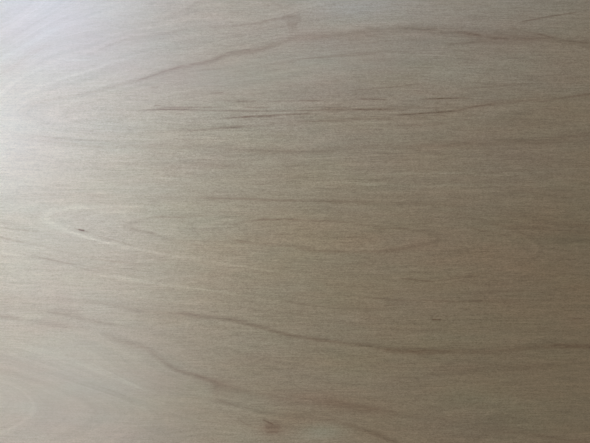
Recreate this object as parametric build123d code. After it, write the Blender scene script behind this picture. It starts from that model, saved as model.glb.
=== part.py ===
from build123d import *
import os

# A full sheet of hardwood plywood, lying flat on its back face.
# The length and the grain of both face veneers run along X, the width along Y, the thickness along Z.
# The origin is the centre of the back face. Sizes are in millimetres.

# Trimmed size of the sheet
sheet_length = 2440.0
sheet_width = 1220.0

# Lay-up through the thickness: an odd number of veneers, so that both faces run the same way
veneer_count = 13
face_veneer_thickness = 1.3
core_veneer_thickness = 1.4

# Sawn edges, eased with a few strokes of the sander
arris_cut = 0.4
corner_cut = 0.8

# The two face veneers are sanded thinner than the ones between them
face_veneer_count = 2
core_veneer_count = veneer_count - face_veneer_count
sheet_thickness = (
    face_veneer_count * face_veneer_thickness
    + core_veneer_count * core_veneer_thickness
)


def trimmed_outline():
    """The plan of the sheet: sawn square, with the points of its four corners just taken off."""
    square_cut = Rectangle(sheet_length, sheet_width)
    return chamfer(square_cut.vertices(), corner_cut)


def pressed_board():
    """The board at its full thickness, standing on the plane of its back face."""
    return extrude(trimmed_outline(), amount=sheet_thickness)


def eased(board):
    """The board with the arrises round the top and the back taken off at 45 degrees."""
    top_and_back = board.faces().filter_by(Axis.Z)
    return chamfer(top_and_back.edges(), arris_cut)


plywood_sheet = eased(pressed_board())

os.makedirs("parts", exist_ok=True)
export_step(plywood_sheet, "parts/plywood_sheet.step")
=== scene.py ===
"""A full sheet of hardwood plywood lying flat on a pale floor, with the camera straight above it.

The sheet is pressed from thirteen veneers. Its two faces are rotary-cut, so the growth rings meet the
surface as contour lines: long hills and hollows drawn out along the grain. Lengths here are in
millimetres unless a name says otherwise, and become metres where a mesh or a lamp is made.
"""

import logging
import math
from dataclasses import dataclass, field
from enum import Enum

import bmesh
import bpy
import numpy as np
from mathutils import Matrix, Vector


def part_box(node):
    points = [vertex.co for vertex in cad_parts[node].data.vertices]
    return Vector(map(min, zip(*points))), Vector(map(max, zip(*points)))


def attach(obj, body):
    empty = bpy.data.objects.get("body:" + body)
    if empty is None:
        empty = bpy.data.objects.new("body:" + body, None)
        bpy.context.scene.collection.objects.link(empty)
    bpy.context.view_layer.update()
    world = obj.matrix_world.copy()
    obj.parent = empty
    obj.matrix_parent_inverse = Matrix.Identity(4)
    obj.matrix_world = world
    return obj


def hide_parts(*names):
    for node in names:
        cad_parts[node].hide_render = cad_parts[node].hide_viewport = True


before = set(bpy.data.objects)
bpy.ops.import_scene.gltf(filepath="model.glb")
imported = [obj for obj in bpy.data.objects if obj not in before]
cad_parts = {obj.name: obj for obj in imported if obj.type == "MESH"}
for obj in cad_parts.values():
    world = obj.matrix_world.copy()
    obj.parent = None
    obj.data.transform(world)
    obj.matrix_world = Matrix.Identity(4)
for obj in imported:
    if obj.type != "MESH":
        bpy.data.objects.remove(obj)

log = logging.getLogger("plywood_sheet")

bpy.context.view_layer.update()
SHEET_NODE = "plywood_sheet"
BODY = "root"

# Metres in a millimetre
MM = 0.001

# The part of the face that the picture shows, in its own 590 by 443 frame
PICTURE_WIDTH = 590
PICTURE_HEIGHT = 443
MM_PER_PIXEL = 1.22
PICTURE_CENTRE_X = 710.0
PICTURE_CENTRE_Y = 0.0


class Side(Enum):
    """Which face of the sheet a veneer makes."""

    GOOD = 1
    BACK = -1


class EdgeGrain(Enum):
    """What a strip of the sawn edge shows, by its place among the material slots."""

    LONG_GRAIN = 0
    END_GRAIN = 1
    GLUE_LINE = 2


class Reach(Enum):
    """What a lamp lights: one thing alone, or all but that thing."""

    ONLY_THIS = "INCLUDE"
    ALL_BUT_THIS = "EXCLUDE"


@dataclass(frozen=True)
class RingLine:
    """One growth ring as it crosses the face, by its number.

    Its points were read off in the picture's frame, then moved and given their strengths after measuring
    across the lines. Each is (across, down, strength, half width): a positive strength darkens the wood
    to brown and a negative one pales it.
    """

    ring: int
    points: tuple[tuple[float, float, float, float], ...]


@dataclass(frozen=True)
class Streak:
    """A thin mark along the grain, from its left end to its right end in the picture's frame.

    A positive bow lifts the middle of the mark above the straight line between its ends.
    """

    left: tuple[float, float]
    right: tuple[float, float]
    strength: float
    half_thickness: float = 0.6
    bow: float = 0.0


@dataclass(frozen=True)
class Patch:
    """A soft stain: its middle, half length and half height in the picture's frame, and its slope."""

    centre: tuple[float, float]
    half_size: tuple[float, float]
    strength: float
    slope: float = 0.0


RING_LINES: tuple[RingLine, ...] = (
    # Hill crown
    RingLine(10, (
        (22, 111, 0.25, 6), (34, 105, 0.3, 4), (45, 101, 0.35, 2), (60, 98, 0.45, 1.8),
        (75, 95.5, 0.5, 1.6), (95, 92.5, 0.55, 1.8), (110, 87, 0.6, 2), (125, 83, 0.55, 2),
        (140, 80, 0.8, 2.2), (152, 76, 0.8, 2.6), (165, 71, 0.88, 3.2), (180, 67.5, 0.9, 2.8),
        (200, 64, 0.75, 2.4), (216, 60.5, 0.7, 2.4), (226, 54.5, 0.75, 2.6), (242, 52.5, 0.82, 3),
        (265, 49, 0.85, 2.6), (285, 40, 0.6, 3.5), (310, 38, 0.7, 4), (340, 35, 0.5, 6),
        (370, 31.5, 0.5, 7), (400, 28.5, 0.7, 5.5), (430, 30, 0.85, 5), (460, 33.5, 0.85, 6),
        (500, 37, 0.95, 7), (545, 38.5, 0.9, 5), (565, 41, 0.55, 5), (590, 43.5, 0.8, 5.5),
    )),
    # Hill foot
    RingLine(10, (
        (22, 111, 0.35, 6), (32, 120, 0.2, 5), (60, 129, 0.15, 4), (95, 133, 0.1, 3),
        (133, 133.5, 0.1, 3), (190, 131, 0.4, 2), (220, 128.5, 0.4, 2), (250, 126, 0.5, 2.5),
        (300, 121.5, 0.6, 3), (350, 118.5, 0.6, 2.5), (400, 118, 0.3, 3), (440, 114, 0.4, 3),
        (470, 107, 0.4, 2.5), (500, 102, 0.3, 3), (550, 98, 0.4, 2.5), (572, 95, 0.4, 2),
        (590, 94, 0.55, 2.5),
    )),
    # Hill inner
    RingLine(11, (
        (66, 113, 0.1, 4), (82, 105, 0.1, 4), (110, 98, 0.1, 4), (150, 89, 0.1, 4),
        (200, 80, 0.1, 4), (260, 67, 0.1, 3), (300, 59.5, 0.4, 1.2), (340, 55.5, 0.5, 1.2),
        (380, 52, 0.5, 1.2), (430, 50, 0.1, 3), (470, 53, 0.1, 4), (530, 60, 0.1, 4),
        (590, 68, 0.1, 4),
    )),
    # Hill inner foot
    RingLine(11, (
        (66, 113, 0.1, 4), (75, 121, 0.2, 3), (92, 125, 0.1, 3), (130, 126, -0.1, 3),
        (180, 124, 0, 3), (240, 120, 0, 3), (300, 115, 0, 3), (380, 112, 0, 3), (440, 107, 0, 3),
        (480, 99, 0, 3), (540, 91, 0, 3), (590, 87, 0, 3),
    )),
    # Hill top
    RingLine(12, (
        (118, 108, 0, 4), (150, 100, 0, 4), (200, 93, 0, 4), (260, 82, 0, 4), (320, 73, 0, 4),
        (380, 67, 0, 4), (450, 68, 0, 4), (520, 75, 0, 4), (560, 80, 0, 4),
    )),
    # Hill top foot
    RingLine(12, (
        (118, 108, 0, 4), (150, 113, 0, 4), (220, 113, 0, 4), (300, 108, 0, 4), (380, 103, 0, 4),
        (450, 97, 0, 4), (520, 88, 0, 4), (560, 80, 0, 4),
    )),
    # Fan a
    RingLine(9, (
        (6, 112, 0, 4), (16, 99, 0, 3), (34, 88, -0.3, 2), (55, 80, -0.3, 1.6), (80, 73, -0.4, 1.6),
        (108, 63, -0.4, 2), (140, 55, -0.1, 3), (180, 46, 0.1, 3), (220, 38, 0.1, 3),
        (262, 31, 0.2, 3), (300, 22, 0.1, 4), (340, 16, 0.1, 3), (400, 12, 0.1, 3), (470, 14, 0, 3),
        (540, 20, 0, 3), (590, 26, 0, 3),
    )),
    # Fan b
    RingLine(8, (
        (0, 96, -0.3, 2), (16, 80, -0.3, 2), (34, 71, -0.3, 2), (62, 61, -0.2, 2), (95, 54, 0.3, 2),
        (112, 44, 0.4, 2), (135, 36, 0.3, 2.5), (158, 37, 0.4, 1.8), (180, 29, 0.35, 2),
        (205, 26, 0.2, 3), (222, 28, 0.5, 2), (248, 24.5, 0.6, 1.8), (270, 20.5, 0.7, 1.8),
        (284, 17.5, 0.6, 2), (310, 9, 0.1, 3), (350, 2, 0.1, 3),
    )),
    # Fan c
    RingLine(7, (
        (0, 76, 0.4, 2.5), (18, 63, 0.4, 2.5), (34, 50, 0.4, 3), (52, 42, 0.2, 3), (90, 34, 0.2, 3),
        (125, 24, 0.1, 3), (160, 19, 0.15, 2), (180, 12, 0.25, 2), (192, 5, 0.4, 2), (200, 0, 0.2, 2),
    )),
    # Fan d
    RingLine(6, (
        (0, 62, -0.4, 2.5), (18, 50, -0.3, 2.5), (40, 38, -0.4, 2.5), (60, 26, -0.3, 3),
        (95, 16, -0.1, 3), (120, 8, 0, 3), (140, 0, 0, 3),
    )),
    # Fan e
    RingLine(5, (
        (0, 44, 0.1, 3), (20, 32, 0.2, 3), (45, 18, 0.1, 3), (70, 4, 0, 3),
    )),
    # Fan f
    RingLine(4, (
        (0, 22, 0, 3), (16, 10, 0, 3), (28, 0, 0, 3),
    )),
    # Slope a
    RingLine(9, (
        (6, 112, 0, 4), (4, 124, 0, 3), (18, 137, 0.2, 3), (45, 140, 0.5, 2), (80, 145.5, 0.5, 1.8),
        (105, 147, 0.5, 2), (145, 146, 0.5, 3), (200, 147, 0.4, 4), (250, 150, 0.75, 3.5),
        (295, 152.5, 0.75, 3.5), (335, 149, 0.5, 4), (372, 146, 0.3, 4), (412, 147.5, 0.5, 4),
        (450, 145, 0.7, 3.5), (500, 142, 0.6, 4), (545, 141, 0.75, 4.5), (590, 135, 0.75, 4.5),
    )),
    # Slope b
    RingLine(8, (
        (-8, 150, 0, 3), (40, 160, 0.1, 2), (100, 163.5, 0.2, 2), (150, 164, 0.2, 2),
        (185, 164, 0.4, 3), (225, 167, 0.4, 3), (270, 166, 0.1, 3), (340, 162, 0.1, 3),
        (420, 159, 0.1, 3), (500, 157, 0.1, 3), (590, 152, 0.1, 3),
    )),
    # Slope c
    RingLine(7, (
        (-8, 172, 0, 3), (60, 177, 0, 3), (140, 179, -0.2, 1.5), (170, 179, -0.6, 1.2),
        (200, 180, -0.1, 2), (300, 176, 0, 2), (400, 174, -0.5, 1.6), (450, 173, -0.8, 1.4),
        (490, 175, -0.7, 1.4), (590, 169, -0.2, 2),
    )),
    # Slope d
    RingLine(6, (
        (-8, 188, 0, 3), (60, 187, 0.1, 3), (140, 189, -0.1, 3), (220, 190, 0, 3),
        (300, 182.5, -0.3, 1.4), (345, 182, -0.8, 1.4), (380, 185, -0.7, 1.4),
        (430, 185.5, -0.8, 1.5), (480, 184.5, -0.6, 1.5), (530, 184, -0.5, 1.6), (590, 186, -0.3, 2),
    )),
    # Slope e
    RingLine(5, (
        (-8, 203, 0, 3), (30, 195.5, 0.3, 1.5), (70, 194, 0.35, 1.4), (100, 195, 0.3, 1.4),
        (138, 195.5, 0.25, 1.3), (185, 198, 0.2, 1.5), (225, 198, 0.85, 1.6), (270, 200.5, 1, 1.8),
        (330, 201, 0.95, 1.8), (350, 202, 0.75, 2), (430, 204, 0.3, 3), (470, 207, 0.2, 3),
        (510, 212, 0.3, 4), (545, 218, 0.5, 5), (590, 226, 0.5, 6),
    )),
    # Trough rim
    RingLine(4, (
        (44, 218, -0.65, 4.6), (48, 214, -0.75, 4), (60, 210, -0.75, 3), (80, 208, -0.8, 1.8),
        (110, 207, -0.75, 1.3), (140, 206, -0.5, 1.3), (200, 204.5, 0, 2), (260, 205, 0, 3),
        (340, 207, 0, 3), (420, 211, 0.1, 3), (470, 217, 0.35, 2.6), (500, 225, 0.55, 2.4),
        (522, 233, 0.4, 3), (538, 243, 0.2, 4), (541, 250, 0.15, 4), (535, 258, 0.15, 4),
        (510, 267, 0.2, 2), (475, 275.5, 0.4, 1.6), (440, 279, 0.3, 1.6), (400, 280, 0.1, 3),
        (340, 277, 0, 3), (290, 273, -0.4, 1.6), (255, 269, -0.75, 1.5), (225, 264, -0.8, 1.5),
        (205, 260.5, -0.3, 1.5), (180, 257, -0.4, 1.5), (150, 251.5, -0.3, 1.4),
        (125, 247, -0.4, 1.5), (104, 242.5, -0.8, 1.5), (80, 236.5, -0.75, 2.2), (62, 229.5, -0.6, 3),
        (48, 223, -0.6, 4.2),
    )),
    # Trough wall
    RingLine(3, (
        (128, 226, 0.4, 3), (138, 220, 0.3, 2.5), (152, 217, 0.4, 1.6), (190, 216.5, 0.45, 1.6),
        (230, 213, 0.1, 3), (300, 212, 0.1, 3), (380, 215, 0.1, 3), (440, 220, 0.1, 3),
        (480, 229, 0.2, 3), (497, 240, 0.2, 3), (480, 252, 0.1, 3), (440, 262, 0.1, 3),
        (380, 266, 0.1, 3), (320, 264, 0.1, 3), (260, 256, 0.1, 3), (210, 249, 0.2, 3),
        (175, 240, 0.3, 2), (155, 234, 0.6, 1.6), (136, 230, 0.5, 2.2),
    )),
    # Trough floor
    RingLine(2, (
        (228, 233, 0.3, 2.5), (233, 226, 0.2, 2), (246, 221, 0.4, 1.5), (262, 219.5, 1.2, 1.5),
        (290, 219.5, 1.25, 1.5), (330, 221.5, 0.6, 1.8), (375, 225.5, 0.4, 2), (405, 229, 0.6, 2),
        (430, 232, 0.4, 2.5), (442, 237, 0.4, 3), (430, 242, 0.3, 2.5), (412, 246, 0.4, 2.5),
        (388, 250.5, 0.8, 2), (355, 252, 0.6, 1.6), (325, 251.5, 0.85, 2), (300, 248, 0.75, 2),
        (285, 245.5, 0.7, 1.8), (255, 243, 0.8, 1.4), (238, 241.5, 0.9, 1.6), (230, 239, 0.5, 2),
    )),
    # Flow a
    RingLine(5, (
        (-8, 218, 0.2, 2), (10, 224, 0.3, 2), (28, 231, 0.3, 1.6), (50, 236, 0, 3), (75, 244, 0.1, 2),
        (105, 250, 0.3, 1.3), (140, 256, 0.3, 1.3), (175, 262, 0.2, 1.5), (215, 268, 0.2, 2),
        (260, 274, 0.1, 2), (330, 282, 0.1, 2), (420, 287, 0.1, 2), (500, 283, 0.1, 2),
        (590, 270, 0.1, 3),
    )),
    # Flow b
    RingLine(6, (
        (-8, 236, 0.5, 1.6), (20, 241.5, 0.6, 1.4), (50, 248, 0.4, 1.4), (85, 256, 0.35, 1.4),
        (120, 262.5, 0.7, 1.3), (160, 266, 0.2, 1.6), (200, 273, 0.3, 1.4), (220, 274, 0.2, 1.4),
        (280, 282, 0.1, 2), (350, 289, 0.1, 2), (430, 293, 0.3, 1.6), (500, 292, 0.6, 1.6),
        (590, 287, 0.1, 2),
    )),
    # Flow c
    RingLine(7, (
        (-8, 249, -0.4, 1.6), (20, 255, 0.2, 1.6), (50, 260, 0.5, 1.4), (90, 267, 0.5, 1.3),
        (130, 274, 0.2, 1.5), (180, 280, 0.1, 2), (240, 288, 0.2, 1.6), (300, 292, 0.1, 2),
        (380, 299, 0.6, 1.4), (460, 302, 0.85, 1.4), (520, 300, 0.2, 2), (590, 300, 0.2, 2),
    )),
    # Flow d
    RingLine(8, (
        (-8, 262, -0.2, 2), (30, 266, 0.1, 2), (60, 270, 0.2, 2), (90, 272.5, -0.15, 1.3),
        (118, 277.5, -0.6, 1.3), (145, 281.5, -0.55, 1.3), (175, 285, -0.5, 1.4),
        (200, 288.5, -0.4, 1.5), (235, 293.5, -0.5, 1.4), (290, 302, 0.6, 1.4), (330, 307, 0.4, 1.5),
        (380, 309, 0.1, 2), (450, 312, 0.1, 2), (520, 313, 0.1, 2), (590, 312, 0.1, 2),
    )),
    # Flow e
    RingLine(9, (
        (-8, 281, 0, 3), (30, 284, 0, 3), (70, 287, 0, 3), (100, 290, 0.1, 2),
        (125, 294.5, -0.3, 1.5), (155, 299.5, -0.35, 1.5), (200, 303, -0.1, 2), (245, 306, -0.2, 1.5),
        (290, 315, 0.1, 2), (340, 323, 0.1, 2), (400, 328, 0.1, 2), (450, 331, 0.1, 2),
        (520, 330, 0.1, 2), (590, 329, 0.1, 2),
    )),
    # Lower brown
    RingLine(10, (
        (-8, 296, 0.2, 4), (30, 298, 0.15, 5), (70, 299.5, 0.3, 4), (100, 302.5, 0.8, 2.5),
        (118, 306, 0.65, 2.5), (135, 309.5, 0.55, 3), (150, 312, 0.5, 3), (170, 312.5, 0.6, 2.5),
        (185, 313.5, 1.1, 2.4), (200, 316, 1.1, 2.6), (220, 318, 1.2, 2.6), (240, 322, 1.15, 2.4),
        (260, 327, 1.15, 2.4), (280, 332, 1.2, 2.2), (300, 337.5, 1.1, 2.2), (330, 341, 1.05, 2.2),
        (360, 344.5, 1.1, 2.8), (380, 347.5, 1.25, 3.2), (400, 350.5, 1.7, 4.2), (420, 351.5, 1.65, 4.2),
        (450, 351, 1.1, 3.8), (480, 351, 0.85, 4), (505, 350, 0.9, 4), (530, 347.5, 1.1, 3.6),
        (560, 346, 1.6, 3.1), (590, 346.5, 1.65, 3.2),
    )),
    # Calm a
    RingLine(11, (
        (-8, 306, 0.4, 3), (20, 309, 0.3, 3), (50, 312, 0.5, 3), (78, 317.5, 0.6, 2.2),
        (98, 322, 0.7, 2), (125, 327, 0.2, 3), (160, 331, 0.1, 3), (190, 340, 0.2, 2),
        (230, 352, 0, 4), (280, 362, 0, 4), (340, 372, 0, 4), (400, 377, 0.1, 4), (440, 374, 0.2, 5),
        (480, 368, 0.3, 4.5), (530, 366, 0.5, 3.5), (590, 364, 0.3, 4),
    )),
    # Lower edge
    RingLine(12, (
        (-8, 316, 0.9, 3), (10, 317, 0.8, 2.6), (22, 320, 0.45, 2.5), (45, 322.5, 0.2, 4),
        (70, 326, 0.2, 3.5), (88, 329, 0.2, 2.5), (100, 332.5, 0.2, 2.5), (113, 338.5, 0.75, 3.2),
        (128, 343, 0.85, 3.5), (142, 346, 0.7, 3.5), (150, 350, 0.7, 3.2), (158, 356.5, 0.75, 3.2),
        (168, 364.5, 0.95, 3), (180, 371, 1.05, 2.8), (200, 376.5, 1.45, 2.8), (212, 380, 1.35, 2.8),
        (220, 384.5, 0.85, 3.5), (232, 388.5, 0.7, 4), (255, 393, 0.5, 3.5), (275, 396.5, 0.3, 3.5),
        (295, 398.5, 0.15, 4), (325, 402.5, 0.2, 5), (350, 407.5, 0.5, 4), (372, 410.5, 0.8, 2.6),
        (400, 414.5, 0.45, 3), (430, 418, 0.4, 3), (460, 422, 0.35, 3), (500, 428, 0.45, 2.4),
        (540, 435, 0.65, 2.4), (590, 443, 0.6, 3),
    )),
    # Lower branch
    RingLine(13, (
        (-8, 338, -0.1, 3), (22, 345, -0.3, 2), (50, 353.5, -0.25, 2), (80, 363.5, -0.35, 2),
        (95, 370, -0.6, 2.2), (112, 377.5, -0.6, 1.8), (135, 386.5, -0.5, 1.6), (160, 395, -0.1, 3),
        (200, 399, 0.2, 3), (222, 401.5, 0.55, 2.4), (240, 405.5, 0.6, 2.6), (258, 411.5, 0.6, 2.6),
        (275, 414, 0.35, 4), (300, 416, 0.3, 5), (330, 420, 0.45, 4), (348, 425.5, 0.7, 2.6),
        (362, 429, 0.9, 2.6), (375, 434, 1.1, 3), (390, 440, 0.9, 3),
        (400, 446, 1, 2.6),
    )),
    # Corner a
    RingLine(14, (
        (-8, 355, 0.2, 4), (30, 366, 0.2, 3), (60, 376, 0.2, 3), (85, 385, 0.3, 2),
        (110, 393, 0.3, 2), (132, 401, 0.25, 2.4), (146, 409, -0.35, 2.4), (150, 418, -0.2, 2.4),
        (142, 430, 0.1, 3), (120, 443, 0.1, 3),
    )),
    # Corner b
    RingLine(15, (
        (-8, 368, 0.3, 4), (30, 379, 0.3, 3), (60, 391, 0.1, 3), (84, 400, 0.2, 3),
        (96, 411, 0.2, 3), (88, 424, 0.1, 3), (60, 436, 0.1, 3), (40, 446, 0, 3),
    )),
    # Corner c
    RingLine(16, (
        (-8, 380, -0.2, 2), (10, 383, -0.2, 2), (24, 391, 0, 2.4), (33, 401, -0.1, 2.4),
        (35, 410, -0.1, 2.4), (28, 419, -0.1, 2.4), (10, 430, -0.4, 1.8), (-8, 433, -0.4, 1.8),
    )),
)

# Thin dark marks, and a few pale ones where the strength is negative
STREAKS: tuple[Streak, ...] = (
    Streak((517, 23), (580, 12), 0.85, 0.7, 0.8),
    Streak((398, 28), (441, 30.5), 0.30, 0.9),
    Streak((449, 31.5), (484, 36.2), 0.38, 1.3, 0.8),
    Streak((462, 34), (479, 35.8), 0.25, 0.9),
    Streak((444, 44.6), (477, 42.2), 0.40, 1.0),
    Streak((468, 43.2), (494, 40.2), 0.25, 1.0),
    Streak((489, 38.4), (510, 38.8), 0.30, 0.9),
    Streak((512, 39.6), (556, 38.6), 0.30, 1.2, 0.6),
    Streak((505, 26), (551, 37), 0.35, 0.8, -0.6),
    Streak((536, 33), (558, 39.5), 0.35, 0.9),
    Streak((556, 38), (578, 42), 0.30, 1.0, -0.5),
    Streak((560, 44), (577, 44), 0.4, 0.8),
    Streak((578, 45), (594, 51), 0.32, 1.2),
    Streak((577, 42.5), (588, 43), 0.28, 1.0),
    Streak((136, 80.8), (160, 73.6), 0.35, 0.8),
    Streak((158, 73.0), (184, 65.8), 0.38, 0.9),
    Streak((188, 64.8), (222, 58.2), 0.38, 0.8),
    Streak((216, 58.6), (229, 52.2), 0.30, 0.8),
    Streak((225, 52.8), (253, 49.6), 0.38, 0.9),
    Streak((200, 70), (223, 68.5), 0.4, 0.7),
    Streak((326, 46), (392, 41), 0.25, 0.6),
    Streak((300, 58.5), (385, 52.5), 0.35, 0.6, -0.6),
    Streak((346, 90.5), (427, 83), 0.45, 0.7, -0.8),
    Streak((455, 89.5), (522, 84.2), 0.32, 0.8),
    Streak((478, 84.2), (543, 83), 0.35, 0.6, -0.4),
    Streak((149, 87.3), (159, 87.2), 0.55),
    Streak((198, 86), (226, 86.4), 0.25, 0.5),
    Streak((210, 93.2), (224, 92.6), 0.65, 0.7),
    Streak((154, 105.5), (161, 105.5), 0.9, 0.6),
    Streak((286, 76.5), (302, 76.5), 0.3),
    Streak((298, 100.4), (324, 101.0), 0.55, 0.7),
    Streak((358, 98.9), (389, 99.5), 0.90, 0.7),
    Streak((418, 99.3), (474, 98.0), 0.85, 0.8, 0.3),
    Streak((434, 98.8), (462, 98.0), 0.40, 0.6),
    Streak((222, 101), (240, 101), 0.35, 0.6),
    Streak((235, 101.3), (257, 101.2), 0.75, 0.7),
    Streak((264, 101.6), (318, 101), 0.45, 0.6, 0.4),
    Streak((135, 110.4), (202, 109.8), 0.80, 0.7, 0.3),
    Streak((155, 109.2), (190, 109.0), 0.60, 1.1),
    Streak((192, 110.2), (300, 110.8), 0.66, 0.7, -0.4),
    Streak((294, 110.6), (318, 110.4), 0.70, 0.9),
    Streak((300, 107.4), (352, 107.6), 0.40, 0.8),
    Streak((306, 110.2), (412, 109.6), 0.60, 1.5, 0.4),
    Streak((350, 109.4), (392, 109.2), 0.42, 1.0),
    Streak((154, 107.2), (228, 107.2), 0.90, 0.6),
    Streak((243, 107.3), (272, 107.4), 0.60, 0.6),
    Streak((384, 106.8), (428, 106.9), 0.45, 0.6),
    Streak((404, 108.4), (444, 108.2), 0.45, 0.6),
    Streak((218, 118.8), (322, 113.4), 0.85, 0.9, 0.8),
    Streak((240, 117.2), (278, 116.2), 0.55, 1.0),
    Streak((182, 131.6), (248, 126.2), 0.50, 0.8, 0.4),
    Streak((220, 128.4), (243, 126.8), 0.40, 0.9),
    Streak((376, 119.2), (392, 119.2), 0.55, 0.6),
    Streak((298, 122.2), (352, 119.6), 0.32, 0.8),
    Streak((348, 119.4), (380, 118.8), 0.35, 0.8),
    Streak((396, 125.6), (426, 125.0), 0.50, 0.6),
    Streak((424, 125.3), (478, 118.5), 0.25, 0.8),
    Streak((393, 115), (462, 110), 1.05, 0.8, -0.5),
    Streak((456, 110.6), (500, 102.0), 0.45, 0.9),
    Streak((464, 107.2), (524, 101.6), 0.40, 0.8),
    Streak((480, 101.6), (545, 99.8), 0.35, 0.7),
    Streak((534, 103), (594, 93.6), 0.55, 1.0, 0.6),
    Streak((22, 134.5), (124, 142), 0.35, 0.9, -1.2),
    Streak((158, 178), (178, 178), -0.5, 0.6),
    Streak((418, 176), (437, 176), -0.4, 0.6),
    Streak((438, 173.5), (454, 173.5), -0.4, 0.6),
    Streak((372, 183.5), (388, 183.5), -0.4, 0.6),
    Streak((374, 186), (388, 186), 0.4),
    Streak((63, 60), (88, 60), -0.4, 0.8),
    Streak((184, 197.6), (252, 198.8), 0.30, 0.7),
    Streak((84, 219), (104, 213.5), -0.34, 1.8),
    Streak((98, 213.8), (130, 210), -0.27, 1.4),
    Streak((150, 216.4), (188, 217.6), 0.40, 0.8),
    Streak((127, 227.6), (158, 233.8), 0.35, 0.9),
    Streak((70, 231.5), (116, 245.6), -0.36, 1.3),
    Streak((88, 232.8), (136, 246.6), 0.32, 0.8),
    Streak((118, 246.8), (186, 258), -0.30, 1.1),
    Streak((128, 249.8), (170, 256.4), 0.20, 0.7),
    Streak((186, 240.4), (250, 242.6), 0.25, 0.7),
    Streak((-3, 227), (42, 231.3), 0.45, 0.8, -0.8),
    Streak((-6, 235.5), (26, 243.5), 0.32, 0.9),
    Streak((-4, 252), (28, 256.8), -0.45, 0.8),
    Streak((30, 255.2), (76, 265), 0.40, 0.7),
    Streak((34, 251.6), (84, 263.0), 0.24, 0.6),
    Streak((74, 266.6), (102, 273.2), 0.34, 0.7),
    Streak((92, 275.4), (134, 284.4), 0.22, 0.6),
    Streak((128, 266.0), (176, 273.6), 0.24, 0.6),
    Streak((86, 263.2), (160, 273.4), 0.26, 0.8),
    Streak((96, 270.4), (158, 280.4), 0.24, 0.7),
    Streak((108, 274.8), (156, 282.4), -0.33, 1.1),
    Streak((156, 284), (232, 293), -0.26, 1.0),
    Streak((60, 283.5), (92, 288), 0.25, 0.7),
    Streak((38, 239), (46, 239), 0.3),
    Streak((247, 237.3), (263, 237.3), 0.50),
    Streak((374, 229.0), (386, 229.2), 0.85),
    Streak((391, 228.5), (412, 228.5), 0.3),
    Streak((498, 225.5), (594, 234), 0.35, 1.8, 1.0),
    Streak((530, 223), (594, 226), 0.25, 1.4),
    Streak((466, 227), (514, 237), 0.35, 1.0),
    Streak((397, 278.0), (436, 281.8), 0.58, 0.8),
    Streak((430, 281.8), (482, 275.5), 0.30, 0.8),
    Streak((383, 305.5), (400, 305.5), 0.4),
    Streak((431, 319.4), (442, 319.6), 1.30, 0.8),
    Streak((571, 318.8), (584, 318.8), 0.65),
    Streak((46, 311.4), (90, 321.8), 0.22, 1.2, 0.6),
    Streak((86, 321.6), (116, 324), 0.25, 1.0),
    Streak((86, 360.5), (146, 391), -0.32, 0.9),
    Streak((80, 380.4), (132, 398.8), 0.28, 0.9, 1.0),
    Streak((311, 351), (325, 351), 0.4),
    Streak((346, 355), (378, 358), 0.3, 0.8),
    Streak((73.5, 228.3), (90.5, 232.3), 0.75, 0.6),
    Streak((78.0, 229.5), (85.0, 230.7), 1.35, 1.1),
    Streak((18, 303), (52, 306), 0.18, 2.2),
    Streak((50, 310), (84, 313.5), 0.22, 3.2),
    Streak((-4, 316.5), (22, 318.5), 0.25, 2.2),
    Streak((34, 322), (74, 327.5), 0.22, 2.6),
)

# Two pin knots, each a small dark eye with lobes along the rays, and the torn grain beside the lower one
KNOTS: tuple[Streak, ...] = (
    Streak((281, 18.5), (303, 18.5), 0.62, 2.6),
    Streak((286, 16.3), (298, 16.2), 0.50, 0.9),
    Streak((297, 20.0), (305, 21.0), 0.40, 0.8),
    Streak((286, 23.5), (299, 23.5), 0.60, 2.2),
    Streak((287, 27.5), (297, 27.5), 0.45, 2.2),
    Streak((288, 32.0), (295, 32.0), 0.25, 2.2),
    Streak((263, 427.0), (282, 427.5), 0.75, 4.8),
    Streak((262, 419.4), (274, 424.6), 1.60, 1.0),
    Streak((265, 426.5), (280, 427.0), 0.45, 2.2),
    Streak((266, 432.4), (279, 431.8), 1.10, 1.3),
    Streak((258, 428.0), (268, 428.0), 0.50, 0.7),
    Streak((259, 431.0), (267, 431.0), 0.40, 0.6),
    Streak((280, 431.0), (285, 431.0), 0.60, 0.7),
    Streak((236, 417.6), (250, 426.8), 0.60, 0.9),
    Streak((247, 424.5), (264, 431.0), 0.35, 0.8),
    Streak((198, 418.0), (210, 421.6), 0.45, 0.8),
    Streak((264, 396.5), (342, 403.5), 0.16, 7.0, 1.5),
    Streak((318, 402.5), (381, 412.5), 0.16, 5.5),
    Streak((333, 401.5), (402, 413.5), 0.45, 1.2, 1.0),
    Streak((217, 399.5), (241, 408.0), 0.40, 0.9),
    Streak((212, 388.0), (219, 388.0), 0.28, 7.0),
    Streak((217, 409.5), (222, 409.5), 0.40, 0.8),
    Streak((276, 394.8), (301, 399.2), -1.10, 0.7),
    Streak((302, 399.4), (313, 401.2), -0.70, 0.6),
)

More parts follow.
